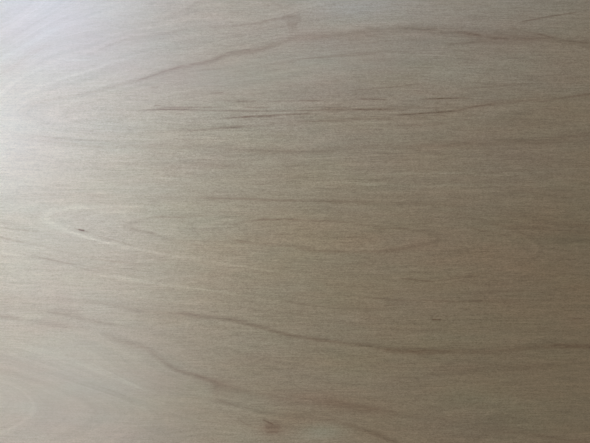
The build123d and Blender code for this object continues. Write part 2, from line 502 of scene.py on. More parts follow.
# Soft brown stains, and paler places where the strength is negative
BROWN_PATCHES: tuple[Patch, ...] = (
    Patch((345, 35), (60, 7), 0.30, 0.05),
    Patch((500, 38), (70, 9), 0.28),
    Patch((470, 3), (140, 12), -0.30),
    Patch((0, 160), (18, 150), -0.30),
    Patch((170, 72), (44, 9), 0.30, -0.3),
    Patch((232, 56), (40, 8), 0.30, -0.2),
    Patch((366, 14), (58, 18), -0.95),
    Patch((325, 74), (66, 14), -0.55),
    Patch((455, 72), (34, 14), -0.7),
    Patch((165, 240), (66, 40), -0.4),
    Patch((20, 268), (30, 46), -0.45),
    Patch((296, 424), (26, 14), 0.7),
    Patch((270, 366), (60, 16), 0.4),
    Patch((122, 8), (24, 14), -0.65),
    Patch((60, 350), (30, 12), -0.25, 0.3),
    Patch((417, 8), (24, 10), -0.20),
    Patch((548, 112), (56, 12), 0.45, -0.1),
    Patch((358, 77), (85, 12), 0.28, -0.03),
    Patch((520, 67), (32, 9), -0.30),
    Patch((34, 108), (20, 8), 0.25, -0.2),
    Patch((170, 110), (34, 4), 0.25),
    Patch((380, 107), (60, 5), 0.12),
    Patch((62, 300), (14, 6), 0.40),
    Patch((67, 310), (19, 7), 0.60),
    Patch((52, 324), (26, 6), 0.60),
    Patch((8, 300), (22, 8), 0.45),
    Patch((170, 318), (24, 7), 0.35),
    Patch((224, 388), (17, 8), 0.70, 0.2),
    Patch((216, 390), (6, 12), 0.45),
    Patch((292, 397), (30, 8), 0.70, 0.12),
    Patch((350, 406), (42, 9), 0.60, 0.16),
    Patch((270, 428), (11, 7), 0.50),
    Patch((318, 433), (24, 9), -1.90),
    Patch((206, 393), (10, 10), -0.50),
    Patch((244, 437), (18, 8), -0.40),
    Patch((374, 434), (24, 5), 0.50, 0.35),
    Patch((510, 404), (46, 7), -0.45, 0.22),
    Patch((577, 89), (22, 5), -0.50, -0.3),
    Patch((505, 110), (34, 5), -0.40, -0.2),
    Patch((155, 151), (14, 5), 0.30),
    Patch((208, 166), (24, 4), 0.30),
    Patch((60, 188), (20, 4), 0.20),
    Patch((480, 368), (70, 6), 0.30),
    Patch((450, 338), (60, 4), -0.30),
    Patch((390, 250), (16, 4), 0.40),
    Patch((330, 235), (100, 13), 0.15),
    Patch((40, 352), (50, 7), -0.30, 0.3),
    Patch((15, 364), (22, 10), 0.30, 0.2),
    Patch((115, 407), (14, 6), 0.30),
    Patch((70, 432), (16, 8), 0.30),
    Patch((30, 410), (7, 7), -0.40),
    Patch((60, 221), (14, 7), -0.20),
)

# Greyer places, where the bark side of the veneer shows its colder colour
GREY_PATCHES: tuple[Patch, ...] = (
    Patch((572, 239), (40, 7), 3.0),
    Patch((142, 315), (34, 11), 0.7),
    Patch((300, 92), (90, 12), 0.3),
    Patch((330, 150), (160, 6), 0.3),
    Patch((120, 60), (70, 18), 0.25, -0.2),
)

# Warmer places, and colder greenish ones where the strength is negative
WARM_PATCHES: tuple[Patch, ...] = (
    Patch((330, 402), (62, 11), 0.95, 0.14),
    Patch((205, 68), (64, 8), 0.9, -0.3),
    Patch((48, 108), (24, 12), 0.8),
    Patch((25, 158), (20, 14), 0.6),
    Patch((270, 428), (12, 8), 1.0),
    Patch((310, 56), (78, 12), -0.9, -0.05),
    Patch((248, 78), (40, 14), -0.7),
    Patch((430, 60), (30, 10), -0.5),
    Patch((320, 85), (40, 10), 0.5),
    Patch((555, 112), (50, 14), 0.6),
    Patch((525, 266), (66, 38), 1.3),
    Patch((545, 208), (26, 14), 0.9),
    Patch((420, 245), (24, 9), 0.8),
    Patch((420, 130), (60, 14), -0.5),
    Patch((200, 255), (36, 34), -0.4),
    Patch((205, 150), (90, 100), -0.9),
    Patch((348, 74), (26, 14), -0.8),
    Patch((345, 373), (32, 11), -0.9),
    Patch((515, 410), (80, 22), -1.1),
    Patch((105, 375), (50, 46), -1.0),
    Patch((330, 433), (34, 8), -0.8),
    Patch((575, 325), (14, 16), 0.7),
    Patch((120, 40), (34, 20), 0.4),
)

# Places with a bluish cast
COLD_PATCHES: tuple[Patch, ...] = (
    Patch((360, 5), (46, 15), 4.0),
    Patch((322, 433), (26, 9), 2.5),
    Patch((232, 412), (34, 22), 1.2),
    Patch((18, 145), (22, 40), 1.2),
    Patch((255, 350), (40, 18), 1.2),
    Patch((560, 100), (60, 34), -0.5),
    Patch((520, 425), (100, 32), 2.2),
    Patch((480, 4), (110, 12), 1.0),
    Patch((360, 48), (110, 40), 1.6),
    Patch((310, 248), (150, 56), -2.6),
    Patch((50, 320), (60, 56), -1.2),
    Patch((420, 130), (60, 20), -1.0),
    Patch((200, 270), (50, 26), -1.0),
    Patch((165, 317), (28, 9), -1.5),
)

# Places where the fibres show less, and one at the lower right where they show more. Those along the top and
# at the top left are painted sheen: they wash the fibres out as the gloss there does
CALM_AND_SHEEN_PATCHES: tuple[Patch, ...] = (
    Patch((0, 30), (170, 62), 0.62),
    Patch((300, 0), (240, 40), 0.30),
    Patch((60, 390), (150, 56), 0.65),
    Patch((40, 230), (50, 50), 0.20),
    Patch((225, 76), (104, 26), 0.46),
    Patch((340, 58), (70, 14), 0.20),
    Patch((430, 66), (80, 30), 0.10),
    Patch((500, 330), (120, 120), -0.14),
)


def on_face(across: float, down: float) -> tuple[float, float]:
    """Place on the face, in millimetres, of a point read from the picture.

    Args:
        across: Distance from the picture's left edge, in its pixels.
        down: Distance from the picture's top edge, in its pixels.

    Returns:
        X along the grain and Y across it.
    """
    x = PICTURE_CENTRE_X + (across - PICTURE_WIDTH / 2) * MM_PER_PIXEL
    y = PICTURE_CENTRE_Y - (down - PICTURE_HEIGHT / 2) * MM_PER_PIXEL
    return x, y


def past_picture(x: np.ndarray, y: np.ndarray) -> tuple[np.ndarray, np.ndarray]:
    """How far places lie outside the part of the face that the picture shows, each way by itself.

    Args:
        x: Places along the grain, in millimetres.
        y: Places across the grain, in millimetres.

    Returns:
        Distances along and across the grain in millimetres, negative inside.
    """
    past_x = np.abs(x - PICTURE_CENTRE_X) - PICTURE_WIDTH * MM_PER_PIXEL / 2
    past_y = np.abs(y - PICTURE_CENTRE_Y) - PICTURE_HEIGHT * MM_PER_PIXEL / 2
    return past_x, past_y


def beyond_picture(x: np.ndarray, y: np.ndarray) -> np.ndarray:
    """How far places lie outside the part of the face that the picture shows.

    Args:
        x: Places along the grain, in millimetres.
        y: Places across the grain, in millimetres.

    Returns:
        Distances in millimetres, 0 inside.
    """
    past_x, past_y = past_picture(x, y)
    return np.hypot(np.maximum(past_x, 0), np.maximum(past_y, 0))


@dataclass(frozen=True)
class RollingWaves:
    """Ring heights of a rotary-cut veneer nobody has drawn: long low hills and hollows along the grain."""

    seed: int
    mean_ring: float = 8.5
    swing: float = 2.8
    count: int = 12
    longest: float = 1500.0
    shortest: float = 640.0
    widest: float = 300.0
    narrowest: float = 105.0
    most_lean: float = 0.06

    # Mean square of a product of two waves
    MEAN_SQUARE = 0.25

    def at(self, x: np.ndarray, y: np.ndarray) -> np.ndarray:
        """Ring heights at places on the face.

        Args:
            x: Places along the grain, in millimetres.
            y: Places across the grain, in millimetres.

        Returns:
            Ring numbers, not rounded.
        """
        draw = np.random.default_rng(self.seed)
        total = np.zeros(np.broadcast(x, y).shape)
        for _ in range(self.count):
            length = draw.uniform(self.shortest, self.longest)
            width = draw.uniform(self.narrowest, self.widest)
            phase_x, phase_y = draw.uniform(0, 2 * math.pi, 2)
            lean = draw.uniform(-self.most_lean, self.most_lean)
            along = np.cos(2 * math.pi * x / length + phase_x)
            across = np.cos(2 * math.pi * (y + lean * x) / width + phase_y)
            total += along * across
        return self.mean_ring + self.swing * total / math.sqrt(self.count * self.MEAN_SQUARE)


class ThinPlate:
    """A smooth surface through scattered heights, drawn out along the grain."""

    # How much longer its features are along the grain than across it
    STRETCH = 2.5
    # How loosely it passes near the heights
    SLACK = 90.0
    # Places worked out together, few enough to spare the memory
    ROWS_AT_ONCE = 2000
    # The flat part of the surface: its height and two slopes
    FLAT_TERMS = 3
    # Keeps the logarithm finite at a knot
    LEAST_SQUARE = 1e-9

    def __init__(self, places: np.ndarray, heights: np.ndarray) -> None:
        """Fits the surface.

        Args:
            places: One row of X and Y for each height, in millimetres.
            heights: The heights to pass near.
        """
        self.knots = places / [self.STRETCH, 1.0]
        count = len(heights)
        flat = np.column_stack([np.ones(count), self.knots])
        bend = self._bend(self.knots) + self.SLACK * np.eye(count)
        system = np.block([[bend, flat], [flat.T, np.zeros((self.FLAT_TERMS, self.FLAT_TERMS))]])
        weights = np.linalg.solve(system, np.append(heights, np.zeros(self.FLAT_TERMS)))
        self.bends, self.height, self.slopes = weights[:count], weights[count], weights[count + 1 :]

    def _bend(self, points: np.ndarray) -> np.ndarray:
        """How much each knot bends the surface at each point.

        Args:
            points: Places with X already pressed together by the stretch.

        Returns:
            One row for each point and one column for each knot.
        """
        across = points[:, None, 0] - self.knots[None, :, 0]
        down = points[:, None, 1] - self.knots[None, :, 1]
        square = across * across + down * down
        return 0.5 * square * np.log(np.maximum(square, self.LEAST_SQUARE))

    def at(self, places: np.ndarray) -> np.ndarray:
        """Heights of the surface.

        Args:
            places: One row of X and Y for each height wanted, in millimetres.

        Returns:
            The heights, in the same order.
        """
        points = places / [self.STRETCH, 1.0]
        heights = np.empty(len(points))
        for start in range(0, len(points), self.ROWS_AT_ONCE):
            rows = slice(start, start + self.ROWS_AT_ONCE)
            bend = self._bend(points[rows]) @ self.bends
            heights[rows] = bend + self.height + points[rows] @ self.slopes
        return heights


@dataclass(frozen=True)
class DrawnRings:
    """The rings that the picture shows, as samples along the drawn lines."""

    spacing: float = 11.0

    def samples(self) -> np.ndarray:
        """Points spaced along every drawn line.

        Returns:
            Rows of X, Y, ring, strength and half width, lengths in millimetres.
        """
        rows = []
        for line in RING_LINES:
            stops = [(*on_face(p[0], p[1]), line.ring, p[2], p[3] * MM_PER_PIXEL) for p in line.points]
            for start, end in zip(stops[:-1], stops[1:]):
                steps = max(1, round(math.dist(start[:2], end[:2]) / self.spacing))
                first, last = np.array(start), np.array(end)
                rows += [first + (last - first) * step / steps for step in range(steps)]
            rows.append(np.array(stops[-1]))
        return np.array(rows)


@dataclass
class Figure:
    """The ring figure of one face, worked out on a grid that is close where the picture looks."""

    side: Side
    waves: RollingWaves
    xs: np.ndarray
    ys: np.ndarray
    layers: dict[str, np.ndarray] = field(default_factory=dict)
    # The places of the grid's points, in millimetres
    x: np.ndarray = field(init=False)
    y: np.ndarray = field(init=False)

    # How far past the picture the drawn figure takes to give way to the made-up one
    FADE = 70.0
    # The made-up figure is sampled this far apart to carry the drawn one on
    GUIDE_STEP_X = 100.0
    GUIDE_STEP_Y = 34.0
    GUIDE_GAP = 75.0
    # A drawn line's strength holds this far from it
    REACH = 20.0
    # Half width where no drawn line is near
    USUAL_HALF_WIDTH = 2.5
    # Half width of a line, in rings
    NARROWEST_SPREAD = 0.05
    WIDEST_SPREAD = 0.45
    # Made-up lines differ from ring to ring: their strength, and their half width in millimetres
    MIDDLE_STRENGTH = 0.25
    STRENGTH_SWING = 0.5
    PALEST = -0.45
    DARKEST = 1.0
    THINNEST = 2.4
    WIDENING = 1.6
    # How fast each of the three waves that change them turns from ring to ring
    BEAT_TURN = (2.4, 1.3)
    SLOW_TURN = 0.9
    WIDTH_TURN = 1.7
    # How far along and across the sheet, in millimetres, each wave takes to turn by one radian
    BEAT_STRETCH = (310.0, 170.0)
    SLOW_STRETCH = (520.0, 240.0)
    SLOW_BEND = 2.0
    WIDTH_STRETCH = 430.0

    def build(self) -> None:
        """Works out every layer of the figure."""
        self.x, self.y = np.meshgrid(self.xs, self.ys)
        drawn = DrawnRings().samples() if self.side is Side.GOOD else np.empty((0, 5))
        self.layers["ring"] = self._rings(drawn)
        slope_y, slope_x = np.gradient(self.layers["ring"], self.ys, self.xs)
        steepness = np.hypot(slope_x, slope_y)
        strength, half_width = self._made_up_lines()
        if len(drawn):
            near, width_near = self._drawn_lines(drawn)
            share = np.clip(beyond_picture(self.x, self.y) / self.FADE, 0, 1)
            strength = strength * share + near * (1 - share)
            half_width = half_width * share + width_near * (1 - share)
        self.layers["steepness"] = steepness
        self.layers["line_strength"] = strength
        self.layers["line_spread"] = np.clip(
            half_width * steepness, self.NARROWEST_SPREAD, self.WIDEST_SPREAD
        )
        self.layers["brown_stain"] = self._patches(BROWN_PATCHES)
        self.layers["grey_stain"] = self._patches(GREY_PATCHES)
        self.layers["warmth"] = self._patches(WARM_PATCHES)
        self.layers["coldness"] = self._patches(COLD_PATCHES)
        self.layers["calm_and_sheen"] = self._patches(CALM_AND_SHEEN_PATCHES)

    def _rings(self, drawn: np.ndarray) -> np.ndarray:
        """Ring heights over the grid.

        Args:
            drawn: Samples of the drawn lines, none for a face that the picture doesn't show.

        Returns:
            Ring numbers, not rounded.
        """
        if not len(drawn):
            return self.waves.at(self.x, self.y)
        guide_x, guide_y = np.meshgrid(
            np.arange(self.xs[0], self.xs[-1] + self.GUIDE_STEP_X, self.GUIDE_STEP_X),
            np.arange(self.ys[0], self.ys[-1] + self.GUIDE_STEP_Y, self.GUIDE_STEP_Y),
        )
        keep = self._far_enough(guide_x, guide_y)
        guide_x, guide_y = guide_x[keep], guide_y[keep]
        places = np.vstack([drawn[:, :2], np.column_stack([guide_x, guide_y])])
        heights = np.append(drawn[:, 2], self.waves.at(guide_x, guide_y))
        surface = ThinPlate(places, heights)
        return surface.at(np.column_stack([self.x.ravel(), self.y.ravel()])).reshape(self.x.shape)

    def _far_enough(self, x: np.ndarray, y: np.ndarray) -> np.ndarray:
        """Which guide points are far enough from the picture not to crowd its own lines.

        Args:
            x: The points' places along the grain.
            y: The points' places across the grain.

        Returns:
            True where a point is kept.
        """
        past_x, past_y = past_picture(x, y)
        return (past_x > self.GUIDE_GAP * ThinPlate.STRETCH) | (past_y > self.GUIDE_GAP)

    def _made_up_lines(self) -> tuple[np.ndarray, np.ndarray]:
        """Strength and half width of the rings that nobody has drawn.

        Returns:
            Strengths, and half widths in millimetres.
        """
        ring = np.round(self.layers["ring"])
        turn = self.BEAT_TURN[0] * ring * ring + self.BEAT_TURN[1] * ring
        beat = np.sin(turn + self.x / self.BEAT_STRETCH[0] + self.y / self.BEAT_STRETCH[1])
        bend = self.SLOW_BEND * np.sin(self.y / self.SLOW_STRETCH[1])
        slow = np.sin(self.SLOW_TURN * ring + self.x / self.SLOW_STRETCH[0] + bend)
        strength = self.MIDDLE_STRENGTH * (1 + beat) + self.STRENGTH_SWING * beat * slow
        swell = np.sin(self.WIDTH_TURN * ring + self.x / self.WIDTH_STRETCH) ** 2
        return np.clip(strength, self.PALEST, self.DARKEST), self.THINNEST + self.WIDENING * swell

    def _drawn_lines(self, drawn: np.ndarray) -> tuple[np.ndarray, np.ndarray]:
        """Strength and half width of the drawn rings, taken from each place's nearest sample.

        Args:
            drawn: Samples of the drawn lines.

        Returns:
            Strengths, and half widths in millimetres.
        """
        strength = np.zeros(self.x.shape)
        half_width = np.full(self.x.shape, self.USUAL_HALF_WIDTH)
        nearest_ring = np.round(self.layers["ring"])
        wanted = beyond_picture(self.x, self.y) < self.FADE
        for ring in np.unique(drawn[:, 2]):
            here = (nearest_ring == ring) & wanted
            line = drawn[drawn[:, 2] == ring]
            across = (self.x[here][:, None] - line[None, :, 0]) / ThinPlate.STRETCH
            down = self.y[here][:, None] - line[None, :, 1]
            distance = np.hypot(across, down)
            nearest = distance.argmin(axis=1)
            closeness = np.exp(-((distance.min(axis=1) / self.REACH) ** 2))
            strength[here] = line[nearest, 3] * closeness
            half_width[here] = line[nearest, 4]
        return strength, half_width

    def _patches(self, patches: tuple[Patch, ...]) -> np.ndarray:
        """Soft stains added up over the grid.

        Args:
            patches: The stains, which only the good face has.

        Returns:
            The stain's amount at each place.
        """
        amount = np.zeros(self.x.shape)
        if self.side is Side.BACK:
            return amount
        for patch in patches:
            centre_x, centre_y = on_face(*patch.centre)
            along = self.x - centre_x
            across = self.y - centre_y + patch.slope * along
            half_length, half_height = (size * MM_PER_PIXEL for size in patch.half_size)
            amount += patch.strength * np.exp(-((along / half_length) ** 2) - (across / half_height) ** 2)
        return amount

    def paint(self, mesh: bpy.types.Mesh) -> None:
        """Stores every layer on the mesh's vertices, each from its nearest place on the grid.

        Args:
            mesh: The finished mesh, in metres.
        """
        flat = np.empty(len(mesh.vertices) * 3, dtype=np.float32)
        mesh.vertices.foreach_get("co", flat)
        places = flat.reshape(-1, 3) / MM
        column = nearest_index(self.xs, places[:, 0])
        row = nearest_index(self.ys, places[:, 1])
        for name, layer in self.layers.items():
            attribute = mesh.attributes.new(name, "FLOAT", "POINT")
            attribute.data.foreach_set("value", layer[row, column].astype(np.float32))


def nearest_index(stops: np.ndarray, values: np.ndarray) -> np.ndarray:
    """The nearest stop to each value.

    Args:
        stops: Rising numbers.
        values: Numbers to place among them.

    Returns:
        Indices into the stops.
    """
    middles = (stops[1:] + stops[:-1]) / 2
    return np.searchsorted(middles, values)


@dataclass(frozen=True)
class GradedStops:
    """Grid lines along one direction: close together where the picture looks, wider elsewhere."""

    half_extent: float
    fine_low: float
    fine_high: float
    fine_step: float
    coarse_step: float

    def stops(self) -> np.ndarray:
        """Places of the grid lines, rising.

        Returns:
            Places in millimetres, from one edge of the sheet to the other.
        """
        parts = [
            self._run(-self.half_extent, self.fine_low, self.coarse_step),
            self._run(self.fine_low, self.fine_high, self.fine_step),
            self._run(self.fine_high, self.half_extent, self.coarse_step),
        ]
        return np.concatenate([*parts, [self.half_extent]])

    @staticmethod
    def _run(low: float, high: float, step: float) -> np.ndarray:
        """Even stops from low up to, but not with, high."""
        return np.linspace(low, high, max(1, round((high - low) / step)), endpoint=False)


class NodeWriter:
    """Adds nodes to one tree, each fed by sockets or plain values."""

    def __init__(self, tree: bpy.types.NodeTree) -> None:
        """Keeps the tree to write in.

        Args:
            tree: A material's tree or a group.
        """
        self.tree = tree

    def node(self, kind: str, **settings: object) -> bpy.types.Node:
        """Adds a node.

        Args:
            kind: The node's type name, without its ShaderNode prefix.
            settings: The node's own properties.

        Returns:
            The new node.
        """
        made = self.tree.nodes.new(kind if kind.startswith("Node") else "ShaderNode" + kind)
        for name, value in settings.items():
            setattr(made, name, value)
        return made

    def feed(self, target: bpy.types.NodeSocket, source: object) -> None:
        """Links a socket to an input, or sets the input to a plain value.

        Args:
            target: The input.
            source: A socket or a value.
        """
        if isinstance(source, bpy.types.NodeSocket):
            self.tree.links.new(source, target)
        elif source is not None:
            target.default_value = source

    def math(self, operation: str, *sources: object) -> bpy.types.NodeSocket:
        """Adds a Math node.

        Args:
            operation: Its operation.
            sources: Sockets or numbers for its inputs, in order.

        Returns:
            Its result.
        """
        made = self.node("Math", operation=operation)
        for target, source in zip(made.inputs, sources):
            self.feed(target, source)
        return made.outputs[0]

    def vector(self, operation: str, *sources: object) -> bpy.types.NodeSocket:
        """Adds a Vector Math node.

        Args:
            operation: Its operation.
            sources: Sockets or triples for its vector inputs, in order.

        Returns:
            Its vector result.
        """
        made = self.node("VectorMath", operation=operation)
        for target, source in zip(made.inputs, sources):
            self.feed(target, source)
        return made.outputs[0]

    def tint(self, amount: bpy.types.NodeSocket, change: tuple[float, float, float]) -> bpy.types.NodeSocket:
        """A multiplier for a colour: 1 where the amount is 0, and 1 plus the change where it is 1.

        Args:
            amount: How much of the change applies.
            change: The change to red, green and blue.

        Returns:
            The multiplier.
        """
        return self.vector("MULTIPLY_ADD", amount, change, (1.0, 1.0, 1.0))

    def product(self, *sources: object) -> bpy.types.NodeSocket:
        """Multiplies colours or triples together.

        Args:
            sources: Two or more of them.

        Returns:
            Their product.
        """
        total = sources[0]
        for source in sources[1:]:
            total = self.vector("MULTIPLY", total, source)
        return total

    def weighted(self, *terms: tuple[object, float]) -> bpy.types.NodeSocket:
        """Adds up values, each times a weight.

        Args:
            terms: Pairs of a socket and its weight.

        Returns:
            The sum.
        """
        total: object = 0.0
        for source, weight in terms:
            total = self.math("MULTIPLY_ADD", source, weight, total)
        return total

    def attribute(self, name: str) -> bpy.types.NodeSocket:
        """One number stored on the mesh's vertices."""
        return self.node("Attribute", attribute_type="GEOMETRY", attribute_name=name).outputs["Fac"]

    def place(self) -> bpy.types.NodeSocket:
        """The point being shaded, in millimetres from the middle of the sheet's back."""
        point = self.node("TexCoord").outputs["Object"]
        return self.vector("MULTIPLY", point, (1 / MM, 1 / MM, 1 / MM))

    def group(self, tree: bpy.types.NodeTree, *sources: object) -> bpy.types.Node:
        """Adds a group.

        Args:
            tree: The group's own tree.
            sources: Sockets or values for its inputs, in order.

        Returns:
            The group node.
        """
        made = self.node("Group", node_tree=tree)
        for target, source in zip(made.inputs, sources):
            self.feed(target, source)
        return made


def new_group(
    name: str, inputs: dict[str, str], outputs: tuple[str, ...]
) -> tuple[NodeWriter, bpy.types.Node]:
    """Starts a node group with named sockets.

    Args:
        name: The group's name.
        inputs: Each input's name and kind, "Float" or "Vector".
        outputs: The names of its outputs, which are all numbers.

    Returns:
        A writer in the group, and its input node.
    """
    tree = bpy.data.node_groups.new(name, "ShaderNodeTree")
    for socket, kind in inputs.items():
        tree.interface.new_socket(name=socket, in_out="INPUT", socket_type="NodeSocket" + kind)
    for socket in outputs:
        tree.interface.new_socket(name=socket, in_out="OUTPUT", socket_type="NodeSocketFloat")
    writer = NodeWriter(tree)
    return writer, writer.node("NodeGroupInput")


@dataclass(frozen=True)
class Fleck:
    """Noise drawn out to one size in millimetres, and the place in the noise where it is read."""

    size: tuple[float, float, float]
    shift: float
    detail: float = 1.0


class WoodGroups:
    """The node groups that the sheet's finishes share, each built once."""

    # What a noise reading is multiplied by, so that its spread is about 1
    NOISE_GAIN = 8.0
    # Long bends and short jags of the rings, and how far each shifts them, in millimetres
    WAVERS = (
        (Fleck((48.0, 9.0, 50.0), 3.1, 2.0), 0.55),
        (Fleck((11.0, 1.1, 50.0), 6.3), 0.40),
    )
    # Breaks and dashes in a ring's line, and how much each changes its strength
    BREAKS = (
        (Fleck((34.0, 2.6, 50.0), 8.7, 2.0), 0.20),
        (Fleck((8.0, 1.2, 50.0), 12.1), 0.22),
    )
    # Bands and threads between the rings, and how strongly each shows. Their width counts in rings,
    # and the other two sizes count in the band's length along the grain and its run across it
    BANDS = (
        (Fleck((0.42, 1.0, 1.0), 5.0, 2.0), 0.7),
        (Fleck((0.13, 0.8, 1.0), 9.0), 0.9),
        (Fleck((0.055, 0.5, 1.0), 14.0), 0.8),
    )
    BAND_LENGTH = 170.0
    BAND_RUN = 420.0
    # A ring's line is a flat band with a sharper core
    BAND_SHARE = 0.78
    CORE_SHARE = 0.42
    CORE_SHARPNESS = 7.0
    # How blunt the ends of a streak are
    BLUNTNESS = 1.9

    def __init__(self) -> None:
        """Builds the groups."""
        self.grain = self._grain()
        self.rings = self._rings()
        self.streak = self._streak()

    def noise(
        self, writer: NodeWriter, place: bpy.types.NodeSocket, fleck: Fleck, further: float = 0.0
    ) -> bpy.types.NodeSocket:
        """Reads the noise at a place.

        Args:
            writer: A writer in the tree that needs it.
            place: Where it is read.
            fleck: Its size and shift.
            further: A shift on top of the fleck's own.

        Returns:
            0 in the middle, with a spread of about 1.
        """
        read = writer.group(self.grain, place, fleck.size, fleck.shift + further, fleck.detail)
        return read.outputs["Value"]

    def mixture(
        self,
        writer: NodeWriter,
        place: bpy.types.NodeSocket,
        parts: tuple[tuple[Fleck, float], ...],
        further: float = 0.0,
    ) -> bpy.types.NodeSocket:
        """Reads several noises at a place and adds them up.

        Args:
            writer: A writer in the tree that needs it.
            place: Where they are read.
            parts: Each noise and its weight.
            further: A shift on top of each fleck's own.

        Returns:
            The sum.
        """
        terms = [(self.noise(writer, place, fleck, further), weight) for fleck, weight in parts]
        return writer.weighted(*terms)

    def _grain(self) -> bpy.types.NodeTree:
        """Noise drawn out to a given size, with 0 as its middle.

        Returns:
            The group: place, size of a fleck, shift and detail in, value out.
        """
        sockets = {"Place": "Vector", "Fleck": "Vector", "Shift": "Float", "Detail": "Float"}
        writer, given = new_group("grain", sockets, ("Value",))
        scaled = writer.vector("DIVIDE", given.outputs["Place"], given.outputs["Fleck"])
        noise = writer.node("TexNoise", noise_dimensions="4D")
        writer.feed(noise.inputs["Vector"], scaled)
        writer.feed(noise.inputs["W"], given.outputs["Shift"])
        writer.feed(noise.inputs["Scale"], 1.0)
        writer.feed(noise.inputs["Detail"], given.outputs["Detail"])
        centred = writer.math("SUBTRACT", noise.outputs["Fac"], 0.5)
        result = writer.node("NodeGroupOutput")
        writer.feed(result.inputs["Value"], writer.math("MULTIPLY", centred, self.NOISE_GAIN))
        return writer.tree

    def _rings(self) -> bpy.types.NodeTree:
        """The growth rings: a line where the ring height is a whole number, and fainter bands between.

        Returns:
            The group: ring height, steepness, line strength, line spread and place in, line and bands out.
        """
        names = ("Ring", "Steepness", "Strength", "Spread")
        sockets = {**{name: "Float" for name in names}, "Place": "Vector"}
        writer, given = new_group("growth rings", sockets, ("Line", "Bands"))
        place = given.outputs["Place"]
        shift = self.mixture(writer, place, self.WAVERS)
        height = writer.math("MULTIPLY_ADD", shift, given.outputs["Steepness"], given.outputs["Ring"])
        nearest = writer.math("ROUND", height)
        away = writer.math("DIVIDE", writer.math("SUBTRACT", height, nearest), given.outputs["Spread"])
        square = writer.math("MULTIPLY", away, away)
        band = writer.math("EXPONENT", writer.math("MULTIPLY", writer.math("MULTIPLY", square, square), -1.0))
        core = writer.math("EXPONENT", writer.math("MULTIPLY", square, -self.CORE_SHARPNESS))
        fall = writer.weighted((band, self.BAND_SHARE), (core, self.CORE_SHARE))
        ragged = writer.math("ADD", self.mixture(writer, place, self.BREAKS), 1.0)
        line = writer.math("MULTIPLY", writer.math("MULTIPLY", fall, ragged), given.outputs["Strength"])
        split = writer.node("SeparateXYZ")
        writer.feed(split.inputs[0], place)
        along = writer.node("CombineXYZ")
        writer.feed(along.inputs[0], given.outputs["Ring"])
        writer.feed(along.inputs[1], writer.math("DIVIDE", split.outputs[0], self.BAND_LENGTH))
        writer.feed(along.inputs[2], writer.math("DIVIDE", split.outputs[1], self.BAND_RUN))
        result = writer.node("NodeGroupOutput")
        writer.feed(result.inputs["Line"], line)
        writer.feed(result.inputs["Bands"], self.mixture(writer, along.outputs[0], self.BANDS))
        return writer.tree

    def _streak(self) -> bpy.types.NodeTree:
        """One thin mark along the grain, soft across and tapering to its ends.

        Returns:
            The group: place, middle, half length, half thickness, slope and bow in, amount out.
        """
        names = ("Middle X", "Middle Y", "Half length", "Half thickness", "Slope", "Bow")
        sockets = {"Place": "Vector", **{name: "Float" for name in names}}
        writer, given = new_group("streak", sockets, ("Amount",))
        split = writer.node("SeparateXYZ")
        writer.feed(split.inputs[0], given.outputs["Place"])
        along = writer.math("SUBTRACT", split.outputs[0], given.outputs["Middle X"])
        share = writer.math("DIVIDE", along, given.outputs["Half length"])
        fullness = writer.math("SUBTRACT", 1.0, writer.math("MULTIPLY", share, share))
        fullness = writer.math("MAXIMUM", fullness, 0.0)
        line = writer.math("MULTIPLY_ADD", along, given.outputs["Slope"], given.outputs["Middle Y"])
        line = writer.math("MULTIPLY_ADD", fullness, given.outputs["Bow"], line)
        across = writer.math("SUBTRACT", split.outputs[1], line)
        thin = writer.math("DIVIDE", across, given.outputs["Half thickness"])
        soft = writer.math("EXPONENT", writer.math("MULTIPLY", writer.math("MULTIPLY", thin, thin), -1.0))
        blunt = writer.math("MINIMUM", writer.math("MULTIPLY", fullness, self.BLUNTNESS), 1.0)
        result = writer.node("NodeGroupOutput")
        writer.feed(result.inputs["Amount"], writer.math("MULTIPLY", soft, blunt))
        return writer.tree


@dataclass(frozen=True)
class WoodTone:
    """The colours of the bare wood, as it reflects light, and how its marks change them."""

    sapwood: tuple[float, float, float] = (0.382, 0.316, 0.222)
    latewood: tuple[float, float, float] = (-0.155, -0.188, -0.207)
    stain: tuple[float, float, float] = (-0.100, -0.165, -0.190)
    grey: tuple[float, float, float] = (-0.060, -0.055, -0.060)
    fibre: tuple[float, float, float] = (0.135, 0.144, 0.160)
    warm: tuple[float, float, float] = (0.020, -0.014, -0.010)
    cold: tuple[float, float, float] = (-0.004, 0.002, 0.020)
    end_grain: tuple[float, float, float] = (0.215, 0.165, 0.110)
    long_grain: tuple[float, float, float] = (0.370, 0.300, 0.205)
    glue: tuple[float, float, float] = (0.110, 0.075, 0.045)


@dataclass(frozen=True)
class BareWood:
    """What the finishes share: a sanded, unvarnished surface."""

    groups: WoodGroups
    tone: WoodTone = WoodTone()
    roughness: float = 0.385
    index_of_refraction: float = 1.5

    def start(self, name: str) -> tuple[bpy.types.Material, NodeWriter, bpy.types.Node]:
        """Starts a material with its shader.

        Args:
            name: The material's name.

        Returns:
            The material, a writer in its tree, and its shader.
        """
        material = bpy.data.materials.new(name)
        material.use_nodes = True
        material.node_tree.nodes.clear()
        writer = NodeWriter(material.node_tree)
        shader = writer.node("BsdfPrincipled")
        shader.inputs["IOR"].default_value = self.index_of_refraction
        shader.inputs["Metallic"].default_value = 0.0
        result = writer.node("OutputMaterial")
        writer.feed(result.inputs["Surface"], shader.outputs["BSDF"])
        return material, writer, shader

    def relief(
        self, writer: NodeWriter, shader: bpy.types.Node, height: bpy.types.NodeSocket, depth: float
    ) -> None:
        """Gives the surface its fine relief.

        Args:
            writer: A writer in the material's tree.
            shader: The material's shader.
            height: The relief, about -1 to 1.
            depth: How deep that is, in millimetres.
        """
        bump = writer.node("Bump")
        writer.feed(bump.inputs["Height"], height)
        writer.feed(bump.inputs["Distance"], depth * MM)
        writer.feed(shader.inputs["Normal"], bump.outputs["Normal"])


